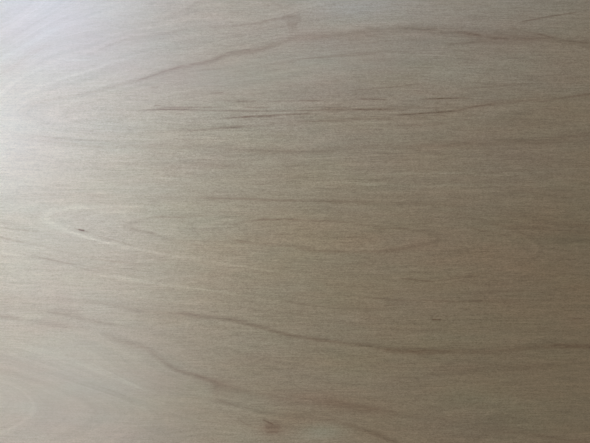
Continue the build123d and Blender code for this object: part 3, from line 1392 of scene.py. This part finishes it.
@dataclass(frozen=True)
class FaceVeneerFinish(BareWood):
    """A sanded rotary-cut face: the ring figure, its fibres, and the marks drawn on it."""

    streaks: tuple[Streak, ...] = ()
    knots: tuple[Streak, ...] = ()
    fibre_shift: float = 0.0

    # The fibres in four lengths, and how strongly each shows
    FIBRES = (
        (Fleck((1.7, 0.70, 5.0), 0.0), 0.95),
        (Fleck((6.0, 0.80, 5.0), 11.0), 0.42),
        (Fleck((24.0, 0.90, 5.0), 22.0), 0.50),
        (Fleck((60.0, 2.2, 5.0), 33.0), 0.20),
    )
    # How far the fibres wander from a straight run, in millimetres
    WANDER = ((Fleck((240.0, 70.0, 60.0), 1.0), 1.6),)
    # Sparse thin dashes, dark vessels and painted glints, pale dashes painted as light caught on the fibres:
    # only what rises above a level of the noise
    VESSELS = Fleck((22.0, 0.75, 9.0), 51.0)
    PAINTED_GLINTS = Fleck((15.0, 0.75, 9.0), 57.0)
    DASH_LEVEL = 1.0
    # How unevenly a streak is filled
    CRUMBLE = Fleck((7.0, 1.3, 9.0), 4.4)
    CRUMBLE_WEIGHT = 0.22
    # Slow drifts of tone
    WARM_DRIFT = (
        (Fleck((150.0, 46.0, 60.0), 2.2, 2.0), 0.45),
        (Fleck((46.0, 15.0, 60.0), 7.2, 2.0), 0.40),
    )
    COLD_DRIFT = ((Fleck((110.0, 34.0, 60.0), 4.7, 2.0), 1.0),)
    # How far each mark darkens the wood; the painted glints, a painted highlight, pale it instead
    LINE_WEIGHT = 1.15
    STREAK_WEIGHT = 2.3
    KNOT_WEIGHT = 1.5
    VESSEL_WEIGHT = 0.45
    PAINTED_GLINT_WEIGHT = -0.40
    # How strongly the bands between the rings show, and how much more where the fibres are calmed, painted
    # sheen included
    BAND_WEIGHT = 0.45
    CALM_AND_SHEEN_BAND_WEIGHT = 0.15
    # What the fibres and the marks add to the roughness
    FIBRE_ROUGHNESS = 0.012
    MARK_ROUGHNESS = 0.02
    # Depth of the fibres, in millimetres
    RELIEF = 0.012

    def material(self, name: str) -> bpy.types.Material:
        """Builds the material.

        Args:
            name: The material's name.

        Returns:
            The material.
        """
        material, writer, shader = self.start(name)
        groups = self.groups
        place = writer.place()
        wander = writer.node("CombineXYZ")
        writer.feed(wander.inputs[1], self._drift(writer, place, self.WANDER))
        along = writer.vector("ADD", place, wander.outputs[0])
        # The calm layer mutes the fibres; along the top and at the top left that is painted sheen
        liveliness = writer.math("SUBTRACT", 1.0, writer.attribute("calm_and_sheen"))
        fibre = writer.math("MULTIPLY", self._drift(writer, along, self.FIBRES), liveliness)
        rings = writer.group(
            groups.rings,
            writer.attribute("ring"),
            writer.attribute("steepness"),
            writer.attribute("line_strength"),
            writer.attribute("line_spread"),
            place,
        )
        streaks = self._marks(writer, place, self.streaks)
        crumble = groups.noise(writer, along, self.CRUMBLE)
        filling = writer.math("MULTIPLY_ADD", crumble, self.CRUMBLE_WEIGHT, 1.0)
        dark = writer.weighted(
            (rings.outputs["Line"], self.LINE_WEIGHT),
            (writer.math("MULTIPLY", streaks, filling), self.STREAK_WEIGHT),
            (self._marks(writer, place, self.knots), self.KNOT_WEIGHT),
            (self._dashes(writer, along, self.VESSELS), self.VESSEL_WEIGHT),
            # The painted glints: pale dashes that stand for light caught on the fibres
            (self._dashes(writer, along, self.PAINTED_GLINTS), self.PAINTED_GLINT_WEIGHT),
        )
        calm_and_sheen = writer.attribute("calm_and_sheen")
        band_weight = writer.math("MULTIPLY_ADD", calm_and_sheen, self.CALM_AND_SHEEN_BAND_WEIGHT, self.BAND_WEIGHT)
        bands = writer.math("MULTIPLY", rings.outputs["Bands"], band_weight)
        grey = writer.math("ADD", bands, writer.attribute("grey_stain"))
        warm_drift = self._drift(writer, place, self.WARM_DRIFT)
        warmth = writer.math("ADD", warm_drift, writer.attribute("warmth"))
        cold_drift = self._drift(writer, place, self.COLD_DRIFT)
        coldness = writer.math("ADD", cold_drift, writer.attribute("coldness"))
        colour = writer.product(
            self.tone.sapwood,
            writer.tint(dark, self.tone.latewood),
            writer.tint(writer.attribute("brown_stain"), self.tone.stain),
            writer.tint(grey, self.tone.grey),
            writer.tint(fibre, self.tone.fibre),
            writer.tint(warmth, self.tone.warm),
            writer.tint(coldness, self.tone.cold),
        )
        writer.feed(shader.inputs["Base Color"], colour)
        rough = writer.weighted((fibre, self.FIBRE_ROUGHNESS), (dark, self.MARK_ROUGHNESS))
        writer.feed(shader.inputs["Roughness"], writer.math("ADD", rough, self.roughness))
        self.relief(writer, shader, fibre, self.RELIEF)
        return material

    def _drift(
        self, writer: NodeWriter, place: bpy.types.NodeSocket, parts: tuple[tuple[Fleck, float], ...]
    ) -> bpy.types.NodeSocket:
        """Noises of this face's own, added up.

        Args:
            writer: A writer in the material's tree.
            place: The point being shaded.
            parts: Each noise and its weight.

        Returns:
            The sum, with 0 as its middle.
        """
        return self.groups.mixture(writer, place, parts, self.fibre_shift)

    def _dashes(
        self, writer: NodeWriter, place: bpy.types.NodeSocket, fleck: Fleck
    ) -> bpy.types.NodeSocket:
        """Sparse thin dashes: the peaks of a drawn-out noise.

        Args:
            writer: A writer in the material's tree.
            place: The point being shaded, bent to the fibres' own run.
            fleck: The noise.

        Returns:
            0 between the dashes, about 1 on a strong one.
        """
        noise = self.groups.noise(writer, place, fleck, self.fibre_shift)
        return writer.math("MAXIMUM", writer.math("SUBTRACT", noise, self.DASH_LEVEL), 0.0)

    def _marks(
        self, writer: NodeWriter, place: bpy.types.NodeSocket, marks: tuple[Streak, ...]
    ) -> bpy.types.NodeSocket:
        """Drawn marks added up.

        Args:
            writer: A writer in the material's tree.
            place: The point being shaded.
            marks: The marks, in the picture's frame.

        Returns:
            How much they darken the point.
        """
        total: object = 0.0
        for mark in marks:
            left, right = Vector(on_face(*mark.left)), Vector(on_face(*mark.right))
            middle, run = (left + right) / 2, right - left
            amount = writer.group(
                self.groups.streak,
                place,
                middle.x,
                middle.y,
                run.x / 2,
                mark.half_thickness * MM_PER_PIXEL,
                run.y / run.x,
                mark.bow * MM_PER_PIXEL,
            )
            total = writer.math("MULTIPLY_ADD", amount.outputs["Amount"], mark.strength, total)
        return total


@dataclass(frozen=True)
class SawnEdgeFinish(BareWood):
    """The sawn edge of the inner veneers, one material for each way a strip can lie."""

    # The finest marks of each kind of strip, and how strongly they show in its colour
    FINE = {
        EdgeGrain.LONG_GRAIN: (Fleck((16.0, 16.0, 0.22), 21.0, 2.0), 0.09),
        EdgeGrain.END_GRAIN: (Fleck((0.9, 0.9, 0.5), 21.0, 2.0), 0.16),
        EdgeGrain.GLUE_LINE: (Fleck((3.0, 3.0, 0.6), 21.0, 2.0), 0.12),
    }
    # A slow drift of tone along the edge, and the upright marks of the saw
    DRIFT = Fleck((60.0, 60.0, 1.1), 23.0, 2.0)
    DRIFT_WEIGHT = 0.05
    SAW = Fleck((1.4, 1.4, 40.0), 25.0)
    SAW_WEIGHT = 0.02
    # How far a change of tone reaches each colour
    TONE_REACH = (1.0, 1.03, 1.06)
    # A sawn edge is rougher than a sanded face
    MORE_ROUGHNESS = 0.2
    FINE_ROUGHNESS = 0.02
    # Shares of the fine marks and of the saw in the relief, and its depth in millimetres
    FINE_RELIEF = 0.6
    SAW_RELIEF = 0.4
    RELIEF = 0.03

    def materials(self) -> list[bpy.types.Material]:
        """The edge's materials, in the order of EdgeGrain."""
        return [self._strip(kind) for kind in EdgeGrain]

    def _strip(self, kind: EdgeGrain) -> bpy.types.Material:
        """Builds the material of one kind of strip.

        Args:
            kind: Which way the fibres of the strip run.

        Returns:
            The material.
        """
        material, writer, shader = self.start("edge_" + kind.name.lower())
        place = writer.place()
        colour = {
            EdgeGrain.LONG_GRAIN: self.tone.long_grain,
            EdgeGrain.END_GRAIN: self.tone.end_grain,
            EdgeGrain.GLUE_LINE: self.tone.glue,
        }[kind]
        fleck, weight = self.FINE[kind]
        fine = self.groups.noise(writer, place, fleck)
        drift = self.groups.noise(writer, place, self.DRIFT)
        saw = self.groups.noise(writer, place, self.SAW)
        tone = writer.weighted((fine, weight), (drift, self.DRIFT_WEIGHT), (saw, self.SAW_WEIGHT))
        shade = writer.tint(tone, self.TONE_REACH)
        writer.feed(shader.inputs["Base Color"], writer.product(colour, shade))
        sawn = self.roughness + self.MORE_ROUGHNESS
        rough = writer.math("MULTIPLY_ADD", fine, self.FINE_ROUGHNESS, sawn)
        writer.feed(shader.inputs["Roughness"], rough)
        relief = writer.weighted((fine, self.FINE_RELIEF), (saw, self.SAW_RELIEF))
        self.relief(writer, shader, relief, self.RELIEF)
        return material


@dataclass(frozen=True)
class LayUp:
    """The sizes of the board and of the veneers it is pressed from, in millimetres."""

    length: float
    width: float
    thickness: float
    face_veneer: float = 1.3
    arris: float = 0.4
    corner: float = 0.8
    core_count: int = 11

    @classmethod
    def of_frame(cls) -> "LayUp":
        """The board's own size, as the frame gives it."""
        low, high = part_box(SHEET_NODE)
        return cls(*((high - low) / MM))

    @property
    def core_bottom(self) -> float:
        """Height of the joint between the back veneer and the first inner one."""
        return self.face_veneer

    @property
    def core_top(self) -> float:
        """Height of the joint between the last inner veneer and the face."""
        return self.thickness - self.face_veneer

    @property
    def core_veneer(self) -> float:
        """Thickness of one inner veneer."""
        return (self.core_top - self.core_bottom) / self.core_count


def finished_piece(
    name: str, mesh: bmesh.types.BMesh, materials: list[bpy.types.Material]
) -> bpy.types.Object:
    """Makes a piece of the sheet and says what it stands for.

    Args:
        name: The piece's name.
        mesh: Its shape in metres, freed here.
        materials: Its finishes, by slot.

    Returns:
        The new object, at the origin.
    """
    data = bpy.data.meshes.new(name)
    mesh.to_mesh(data)
    mesh.free()
    for material in materials:
        data.materials.append(material)
    piece = bpy.data.objects.new(name, data)
    bpy.context.scene.collection.objects.link(piece)
    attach(piece, BODY)
    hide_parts(SHEET_NODE)
    return piece


def report_piece(piece: bpy.types.Object) -> None:
    """Says through the log what was built."""
    triangles = sum(len(polygon.vertices) - 2 for polygon in piece.data.polygons)
    log.info("%s: %d faces, %d triangles", piece.name, len(piece.data.polygons), triangles)


@dataclass
class FaceVeneer:
    """One outer veneer: a closed slab whose outer face carries the ring figure."""

    name: str
    side: Side
    lay_up: LayUp
    finish: FaceVeneerFinish
    waves: RollingWaves
    across_grid: GradedStops
    along_grid: GradedStops

    ARRIS_SEGMENTS = 2
    # How near, in metres, a vertex has to be to a corner, and two vertices to one line or level
    NEAR = 0.1 * MM
    LEVEL = 1e-7
    # Two faces that meet at more than this angle make an arris
    SHARP = math.radians(45)

    def build(self) -> bpy.types.Object:
        """Shapes the veneer, stores its figure and dresses it.

        Returns:
            The finished piece.
        """
        figure = Figure(self.side, self.waves, self.along_grid.stops(), self.across_grid.stops())
        figure.build()
        shape = self._slab(figure.xs, figure.ys)
        piece = finished_piece(self.name, shape, [self.finish.material(self.name)])
        figure.paint(piece.data)
        return piece

    def _slab(self, xs: np.ndarray, ys: np.ndarray) -> bmesh.types.BMesh:
        """The closed slab, its outer face divided along the given lines.

        Args:
            xs: Places of the divisions along the length.
            ys: Places of the divisions across the width.

        Returns:
            The shape, in metres.
        """
        shape = bmesh.new()
        bmesh.ops.create_grid(shape, x_segments=len(xs) - 1, y_segments=len(ys) - 1, size=1.0)
        outer = self.lay_up.thickness * MM
        for vertex in shape.verts:
            column = round((vertex.co.x + 1) / 2 * (len(xs) - 1))
            row = round((vertex.co.y + 1) / 2 * (len(ys) - 1))
            vertex.co = (xs[column] * MM, ys[row] * MM, outer)
        rim = [edge for edge in shape.edges if edge.is_boundary]
        walls = bmesh.ops.extrude_edge_only(shape, edges=rim)["geom"]
        lower = [item for item in walls if isinstance(item, bmesh.types.BMVert)]
        bmesh.ops.translate(shape, verts=lower, vec=(0, 0, -self.lay_up.face_veneer * MM))
        bmesh.ops.holes_fill(shape, edges=[edge for edge in shape.edges if edge.is_boundary], sides=0)
        self._cut_corners(shape)
        self._ease_arris(shape, outer)
        bmesh.ops.recalc_face_normals(shape, faces=shape.faces)
        if self.side is Side.BACK:
            bmesh.ops.rotate(
                shape, verts=shape.verts, cent=(0, 0, outer / 2), matrix=Matrix.Rotation(math.pi, 3, "X")
            )
        return shape

    def _cut_corners(self, shape: bmesh.types.BMesh) -> None:
        """Takes the points off the four corners.

        Args:
            shape: The slab.
        """
        upright = [edge for edge in shape.edges if self._is_corner(edge)]
        bmesh.ops.bevel(
            shape,
            geom=upright,
            offset=self.lay_up.corner * math.sqrt(0.5) * MM,
            offset_type="OFFSET",
            affect="EDGES",
            segments=1,
            profile=0.5,
            material=-1,
        )

    def _is_corner(self, edge: bmesh.types.BMEdge) -> bool:
        """Whether an edge is one of the slab's four upright corners.

        Args:
            edge: One of the slab's edges.

        Returns:
            True for a corner.
        """
        first, second = (vertex.co for vertex in edge.verts)
        upright = (first - second).xy.length < self.LEVEL
        at_end = abs(abs(first.x) - self.lay_up.length / 2 * MM) < self.NEAR
        at_side = abs(abs(first.y) - self.lay_up.width / 2 * MM) < self.NEAR
        return upright and at_end and at_side

    def _ease_arris(self, shape: bmesh.types.BMesh, outer: float) -> None:
        """Rounds the edge all round the outer face.

        Args:
            shape: The slab.
            outer: Height of its outer face, in metres.
        """
        arris = [edge for edge in shape.edges if self._is_arris(edge, outer)]
        bmesh.ops.bevel(
            shape,
            geom=arris,
            offset=self.lay_up.arris * MM,
            offset_type="OFFSET",
            affect="EDGES",
            segments=self.ARRIS_SEGMENTS,
            profile=0.5,
            material=-1,
            clamp_overlap=True,
        )

    def _is_arris(self, edge: bmesh.types.BMEdge, outer: float) -> bool:
        """Whether an edge lies between the outer face and a wall."""
        level = all(abs(vertex.co.z - outer) < self.LEVEL for vertex in edge.verts)
        return level and edge.calc_face_angle(0.0) > self.SHARP


@dataclass
class CoreVeneers:
    """The inner veneers, laid crosswise in turn, whose edges show all round the sheet."""

    lay_up: LayUp
    finish: SawnEdgeFinish
    # The glue between two veneers: its height, and how far it lies back from the sawn edge
    glue_line: float = 0.09
    glue_set_back: float = 0.05
    # How far the crosswise veneers lie back, which the saw tore a little
    crossed_set_back: float = 0.02

    name = "core_veneers"

    def build(self) -> bpy.types.Object:
        """Shapes the stack as one closed shell and dresses its strips.

        Returns:
            The finished piece.
        """
        lay_up = self.lay_up
        shape = bmesh.new()
        bmesh.ops.create_grid(shape, x_segments=1, y_segments=1, size=0.5)
        bmesh.ops.scale(shape, verts=shape.verts, vec=(lay_up.length * MM, lay_up.width * MM, 1.0))
        bmesh.ops.translate(shape, verts=shape.verts, vec=(0, 0, lay_up.core_bottom * MM))
        bmesh.ops.bevel(
            shape,
            geom=list(shape.verts),
            offset=lay_up.corner * MM,
            affect="VERTICES",
            segments=1,
            profile=0.5,
            material=-1,
        )
        rim = list(shape.edges)
        set_back = 0.0
        for ply in range(lay_up.core_count):
            crossed = ply % 2 == 0
            height = lay_up.core_veneer
            if ply:
                rim = self._wall(shape, rim, 0.0, set_back - self.glue_set_back, crossed, True)
                rim = self._wall(shape, rim, self.glue_line, 0.0, crossed, True)
                set_back = self.glue_set_back
                height -= self.glue_line
            wanted = self.crossed_set_back if crossed else 0.0
            rim = self._wall(shape, rim, 0.0, set_back - wanted, crossed, False)
            rim = self._wall(shape, rim, height, 0.0, crossed, False)
            set_back = wanted
        bmesh.ops.holes_fill(shape, edges=rim, sides=0)
        bmesh.ops.recalc_face_normals(shape, faces=shape.faces)
        return finished_piece(self.name, shape, self.finish.materials())

    def _wall(
        self,
        shape: bmesh.types.BMesh,
        rim: list[bmesh.types.BMEdge],
        rise: float,
        grow: float,
        crossed: bool,
        glued: bool,
    ) -> list[bmesh.types.BMEdge]:
        """Draws the open rim up or sideways into one more strip.

        Args:
            shape: The stack so far.
            rim: Its open edges.
            rise: How far the strip goes up, in millimetres.
            grow: How far it goes outwards, in millimetres.
            crossed: Whether the veneer's grain runs across the sheet.
            glued: Whether the strip is the glue between two veneers.

        Returns:
            The new open edges.
        """
        made = bmesh.ops.extrude_edge_only(shape, edges=rim)["geom"]
        corners = [item for item in made if isinstance(item, bmesh.types.BMVert)]
        bmesh.ops.translate(shape, verts=corners, vec=(0, 0, rise * MM))
        wider = (1 + 2 * grow / self.lay_up.length, 1 + 2 * grow / self.lay_up.width, 1.0)
        bmesh.ops.scale(shape, verts=corners, vec=wider)
        for wall in (item for item in made if isinstance(item, bmesh.types.BMFace)):
            across_grain = self._faces_end(wall) != crossed
            kind = EdgeGrain.END_GRAIN if across_grain else EdgeGrain.LONG_GRAIN
            wall.material_index = (EdgeGrain.GLUE_LINE if glued else kind).value
        upper = set(corners)
        return [edge for edge in shape.edges if upper.issuperset(edge.verts)]

    def _faces_end(self, wall: bmesh.types.BMFace) -> bool:
        """Whether a strip lies on one of the sheet's two short ends."""
        reaches = [abs(vertex.co.x) for vertex in wall.verts]
        return max(reaches) - min(reaches) < self.lay_up.corner * MM / 4


def light_group(name: str, thing: bpy.types.Object, reach: Reach) -> bpy.types.Collection:
    """A group that lets lamps light one thing alone, or all but that thing.

    Args:
        name: The group's name.
        thing: The thing in it.
        reach: What the lamps light.

    Returns:
        The group.
    """
    group = bpy.data.collections.new(name)
    group.objects.link(thing)
    group.collection_objects[0].light_linking.link_state = reach.value
    return group


@dataclass(frozen=True)
class PaleGround:
    """The floor and the backdrop: a pale plain colour, with the sheet's shadow on it."""

    colour: tuple[float, float, float] = (0.80, 0.81, 0.83)
    # The tone that the ground is seen with, and the share of it that the floor gives off by itself
    shown: float = 0.74
    shown_share: float = 0.35
    half_size: float = 9000.0
    divisions: int = 8
    # How far the floor lies below the sheet
    depth: float = 0.3
    # The even light that comes from all round
    fill: tuple[float, float, float] = (0.259, 0.218, 0.152)
    # The floor's own light, in degrees: how high it stands, how soft it is, and where it comes from
    light_height: float = 52.0
    light_softness: float = 40.0
    light_bearing: float = 35.0

    def build(self) -> bpy.types.Object:
        """Makes the floor, its own even light, and the world round it.

        Returns:
            The floor.
        """
        shape = bmesh.new()
        bmesh.ops.create_grid(
            shape, x_segments=self.divisions, y_segments=self.divisions, size=self.half_size * MM
        )
        bmesh.ops.translate(shape, verts=shape.verts, vec=(0, 0, -self.depth * MM))
        data = bpy.data.meshes.new("floor")
        shape.to_mesh(data)
        shape.free()
        data.materials.append(self._floor_material())
        floor = bpy.data.objects.new("floor", data)
        bpy.context.scene.collection.objects.link(floor)
        bpy.context.scene.world = self._world()
        self._floor_light(floor)
        return floor

    def _floor_light(self, floor: bpy.types.Object) -> None:
        """Lights the floor alone, evenly and from the side of the lamps, up to the tone that is shown.

        Args:
            floor: The floor.
        """
        wanted = [self.shown / paint - fill for paint, fill in zip(self.colour, self.fill)]
        brightest = max(wanted)
        light = bpy.data.lights.new("floor_light", "SUN")
        light.color = [part / brightest for part in wanted]
        light.energy = math.pi * brightest / math.sin(math.radians(self.light_height))
        light.angle = math.radians(self.light_softness)
        fitting = bpy.data.objects.new("floor_light", light)
        fitting.rotation_euler = (
            0.0,
            -math.radians(90.0 - self.light_height),
            -math.radians(self.light_bearing),
        )
        fitting.light_linking.receiver_collection = light_group("floor_only", floor, Reach.ONLY_THIS)
        bpy.context.scene.collection.objects.link(fitting)

    @staticmethod
    def _looked_at(writer: NodeWriter) -> bpy.types.NodeSocket:
        """1 where a surface is looked at, straight or in a gloss, and 0 where it only lights others.

        Args:
            writer: A writer in the tree.

        Returns:
            The switch.
        """
        path = writer.node("LightPath").outputs
        mirrored = writer.math("MAXIMUM", path["Is Glossy Ray"], path["Is Transmission Ray"])
        return writer.math("MAXIMUM", path["Is Camera Ray"], mirrored)

    def _floor_material(self) -> bpy.types.Material:
        """The floor's pale paint.

        Returns:
            The material.
        """
        material = bpy.data.materials.new("floor")
        material.use_nodes = True
        material.node_tree.nodes.clear()
        writer = NodeWriter(material.node_tree)
        paint = writer.node("BsdfDiffuse")
        paint.inputs["Color"].default_value = (*self.colour, 1.0)
        pale = writer.node("Emission")
        pale.inputs["Color"].default_value = (self.shown, self.shown, self.shown, 1.0)
        mix = writer.node("MixShader")
        writer.feed(mix.inputs[0], writer.math("MULTIPLY", self._looked_at(writer), self.shown_share))
        writer.feed(mix.inputs[1], paint.outputs[0])
        writer.feed(mix.inputs[2], pale.outputs[0])
        writer.feed(writer.node("OutputMaterial").inputs["Surface"], mix.outputs[0])
        return material

    def _world(self) -> bpy.types.World:
        """An even fill light, and the pale backdrop that is seen behind the sheet.

        Returns:
            The world.
        """
        world = bpy.data.worlds.new("studio")
        world.use_nodes = True
        world.node_tree.nodes.clear()
        writer = NodeWriter(world.node_tree)
        light = writer.node("Background")
        light.inputs["Color"].default_value = (*self.fill, 1.0)
        shown = writer.node("Background")
        shown.inputs["Color"].default_value = (self.shown, self.shown, self.shown, 1.0)
        mix = writer.node("MixShader")
        writer.feed(mix.inputs[0], self._looked_at(writer))
        writer.feed(mix.inputs[1], light.outputs[0])
        writer.feed(mix.inputs[2], shown.outputs[0])
        writer.feed(writer.node("OutputWorld").inputs["Surface"], mix.outputs[0])
        return world


@dataclass(frozen=True)
class SoftBox:
    """A rectangular lamp with a grid in front, which keeps its beam narrow. The beam is in degrees."""

    name: str
    centre: tuple[float, float, float]
    aim: tuple[float, float, float]
    size: tuple[float, float]
    beam: float
    glow: tuple[float, float, float]

    def build(self, receivers: bpy.types.Collection) -> None:
        """Hangs the lamp. Its glow is the brightness of its panel, where 1 is white.

        Args:
            receivers: What its light falls on.
        """
        lamp = bpy.data.lights.new(self.name, "AREA")
        lamp.shape = "RECTANGLE"
        lamp.size, lamp.size_y = (side * MM for side in self.size)
        lamp.spread = math.radians(self.beam)
        brightest = max(self.glow)
        lamp.color = [part / brightest for part in self.glow]
        lamp.energy = brightest * math.pi * lamp.size * lamp.size_y
        fitting = bpy.data.objects.new(self.name, lamp)
        fitting.location = Vector(self.centre) * MM
        back = (Vector(self.centre) - Vector(self.aim)).normalized()
        across = Vector((0.0, 1.0, 0.0)).cross(back).normalized()
        turn = Matrix((across, back.cross(across), back)).transposed()
        fitting.rotation_euler = turn.to_euler()
        fitting.visible_camera = False
        fitting.light_linking.receiver_collection = receivers
        bpy.context.scene.collection.objects.link(fitting)


@dataclass(frozen=True)
class Studio:
    """The camera above the sheet, and the lamps.

    The lamps' places, sizes, beams and glows, and the fill, began as a least-squares fit to the broad light
    of the picture. So they say what gives that light on the sheet, not what lamps really hung there.
    """

    lay_up: LayUp
    sensor: float = 36.0
    lens: float = 28.0
    nearest_seen: float = 10.0
    furthest_seen: float = 100000.0

    def build(self) -> None:
        """Sets up the ground, the lamps and the camera."""
        view = bpy.context.scene.view_settings
        view.view_transform = "Standard"
        floor = PaleGround().build()
        off_the_floor = light_group("off_the_floor", floor, Reach.ALL_BUT_THIS)
        for lamp in self._lamps():
            lamp.build(off_the_floor)
        self._camera()

    def _lamps(self) -> list[SoftBox]:
        """A wide soft box over the left of the sheet, and two small window-like ones further off.

        Returns:
            The lamps.
        """
        x, y = PICTURE_CENTRE_X, PICTURE_CENTRE_Y
        top = self.lay_up.thickness
        wide = SoftBox(
            name="wide_soft_box",
            centre=(x - 1340, y - 110, top + 710),
            aim=(x - 1030, y + 50, top),
            size=(1780, 2040),
            beam=64,
            glow=(0.72, 0.79, 0.92),
        )
        near = SoftBox(
            name="near_window",
            centre=(x - 1170, y + 370, top + 1100),
            aim=(x - 310, y + 60, top),
            size=(300, 270),
            beam=22,
            glow=(0.61, 0.72, 0.89),
        )
        far = SoftBox(
            name="far_window",
            centre=(x - 1600, y + 1250, top + 2300),
            aim=(x - 170, y + 590, top),
            size=(540, 220),
            beam=22,
            glow=(2.90, 3.71, 5.63),
        )
        return [wide, near, far]

    def _camera(self) -> None:
        """Hangs the camera straight above the part of the face that the picture shows."""
        camera = bpy.data.cameras.new("camera")
        camera.sensor_width = self.sensor
        camera.lens = self.lens
        camera.clip_start = self.nearest_seen * MM
        camera.clip_end = self.furthest_seen * MM
        height = PICTURE_WIDTH * MM_PER_PIXEL * self.lens / self.sensor
        stand = bpy.data.objects.new("camera", camera)
        place = Vector((PICTURE_CENTRE_X, PICTURE_CENTRE_Y, self.lay_up.thickness + height))
        stand.location = place * MM
        bpy.context.scene.collection.objects.link(stand)
        bpy.context.scene.camera = stand


@dataclass
class PlywoodSheet:
    """The whole sheet: two face veneers and the stack between them."""

    lay_up: LayUp

    # The drawn figure needs close grid lines, a little past the picture too
    FINE_MARGIN = 24.0
    FINE_ALONG = 6.0
    FINE_ACROSS = 2.5
    # The rest of the good face doesn't
    COARSE_ALONG = 12.0
    COARSE_ACROSS = 7.0
    # The back has even spacings, counted apart in its middle and on both sides of it
    BACK_ALONG = 14.0
    BACK_ACROSS = 8.0
    BACK_MIDDLE = 100.0
    # Which random draw each face's made-up figure and the back's fibres come from
    FACE_SEED = 41
    BACK_SEED = 77
    BACK_FIBRES = 30.0

    def build(self) -> list[bpy.types.Object]:
        """Builds the pieces in order, from the top down.

        Returns:
            The finished pieces.
        """
        groups = WoodGroups()
        face = FaceVeneer(
            name="face_veneer",
            side=Side.GOOD,
            lay_up=self.lay_up,
            finish=FaceVeneerFinish(groups, streaks=STREAKS, knots=KNOTS),
            waves=RollingWaves(self.FACE_SEED),
            across_grid=self._stops(
                self.lay_up.width, PICTURE_CENTRE_Y, PICTURE_HEIGHT, self.FINE_ACROSS, self.COARSE_ACROSS
            ),
            along_grid=self._stops(
                self.lay_up.length, PICTURE_CENTRE_X, PICTURE_WIDTH, self.FINE_ALONG, self.COARSE_ALONG
            ),
        )
        core = CoreVeneers(self.lay_up, SawnEdgeFinish(groups))
        back = FaceVeneer(
            name="back_veneer",
            side=Side.BACK,
            lay_up=self.lay_up,
            finish=FaceVeneerFinish(groups, fibre_shift=self.BACK_FIBRES),
            waves=RollingWaves(self.BACK_SEED),
            across_grid=self._even_stops(self.lay_up.width, self.BACK_ACROSS),
            along_grid=self._even_stops(self.lay_up.length, self.BACK_ALONG),
        )
        return [piece.build() for piece in (face, core, back)]

    def _stops(self, extent: float, centre: float, pixels: int, fine: float, coarse: float) -> GradedStops:
        """Grid lines along one direction of the good face.

        Args:
            extent: The sheet's size in that direction.
            centre: Middle of the picture in that direction.
            pixels: The picture's size in that direction.
            fine: Spacing inside the picture.
            coarse: Spacing outside it.

        Returns:
            The graded stops.
        """
        reach = pixels * MM_PER_PIXEL / 2 + self.FINE_MARGIN
        return GradedStops(extent / 2, centre - reach, centre + reach, fine, coarse)

    def _even_stops(self, extent: float, step: float) -> GradedStops:
        """Grid lines along one direction of the back, with one spacing all over."""
        return GradedStops(extent / 2, -self.BACK_MIDDLE, self.BACK_MIDDLE, step, step)


def main() -> None:
    """Builds the studio and the sheet, and reports each piece."""
    logging.basicConfig(level=logging.INFO, format="%(name)s: %(message)s")
    lay_up = LayUp.of_frame()
    log.info("board %.1f by %.1f by %.1f mm", lay_up.length, lay_up.width, lay_up.thickness)
    Studio(lay_up).build()
    for piece in PlywoodSheet(lay_up).build():
        report_piece(piece)


if __name__ == "__main__":
    main()
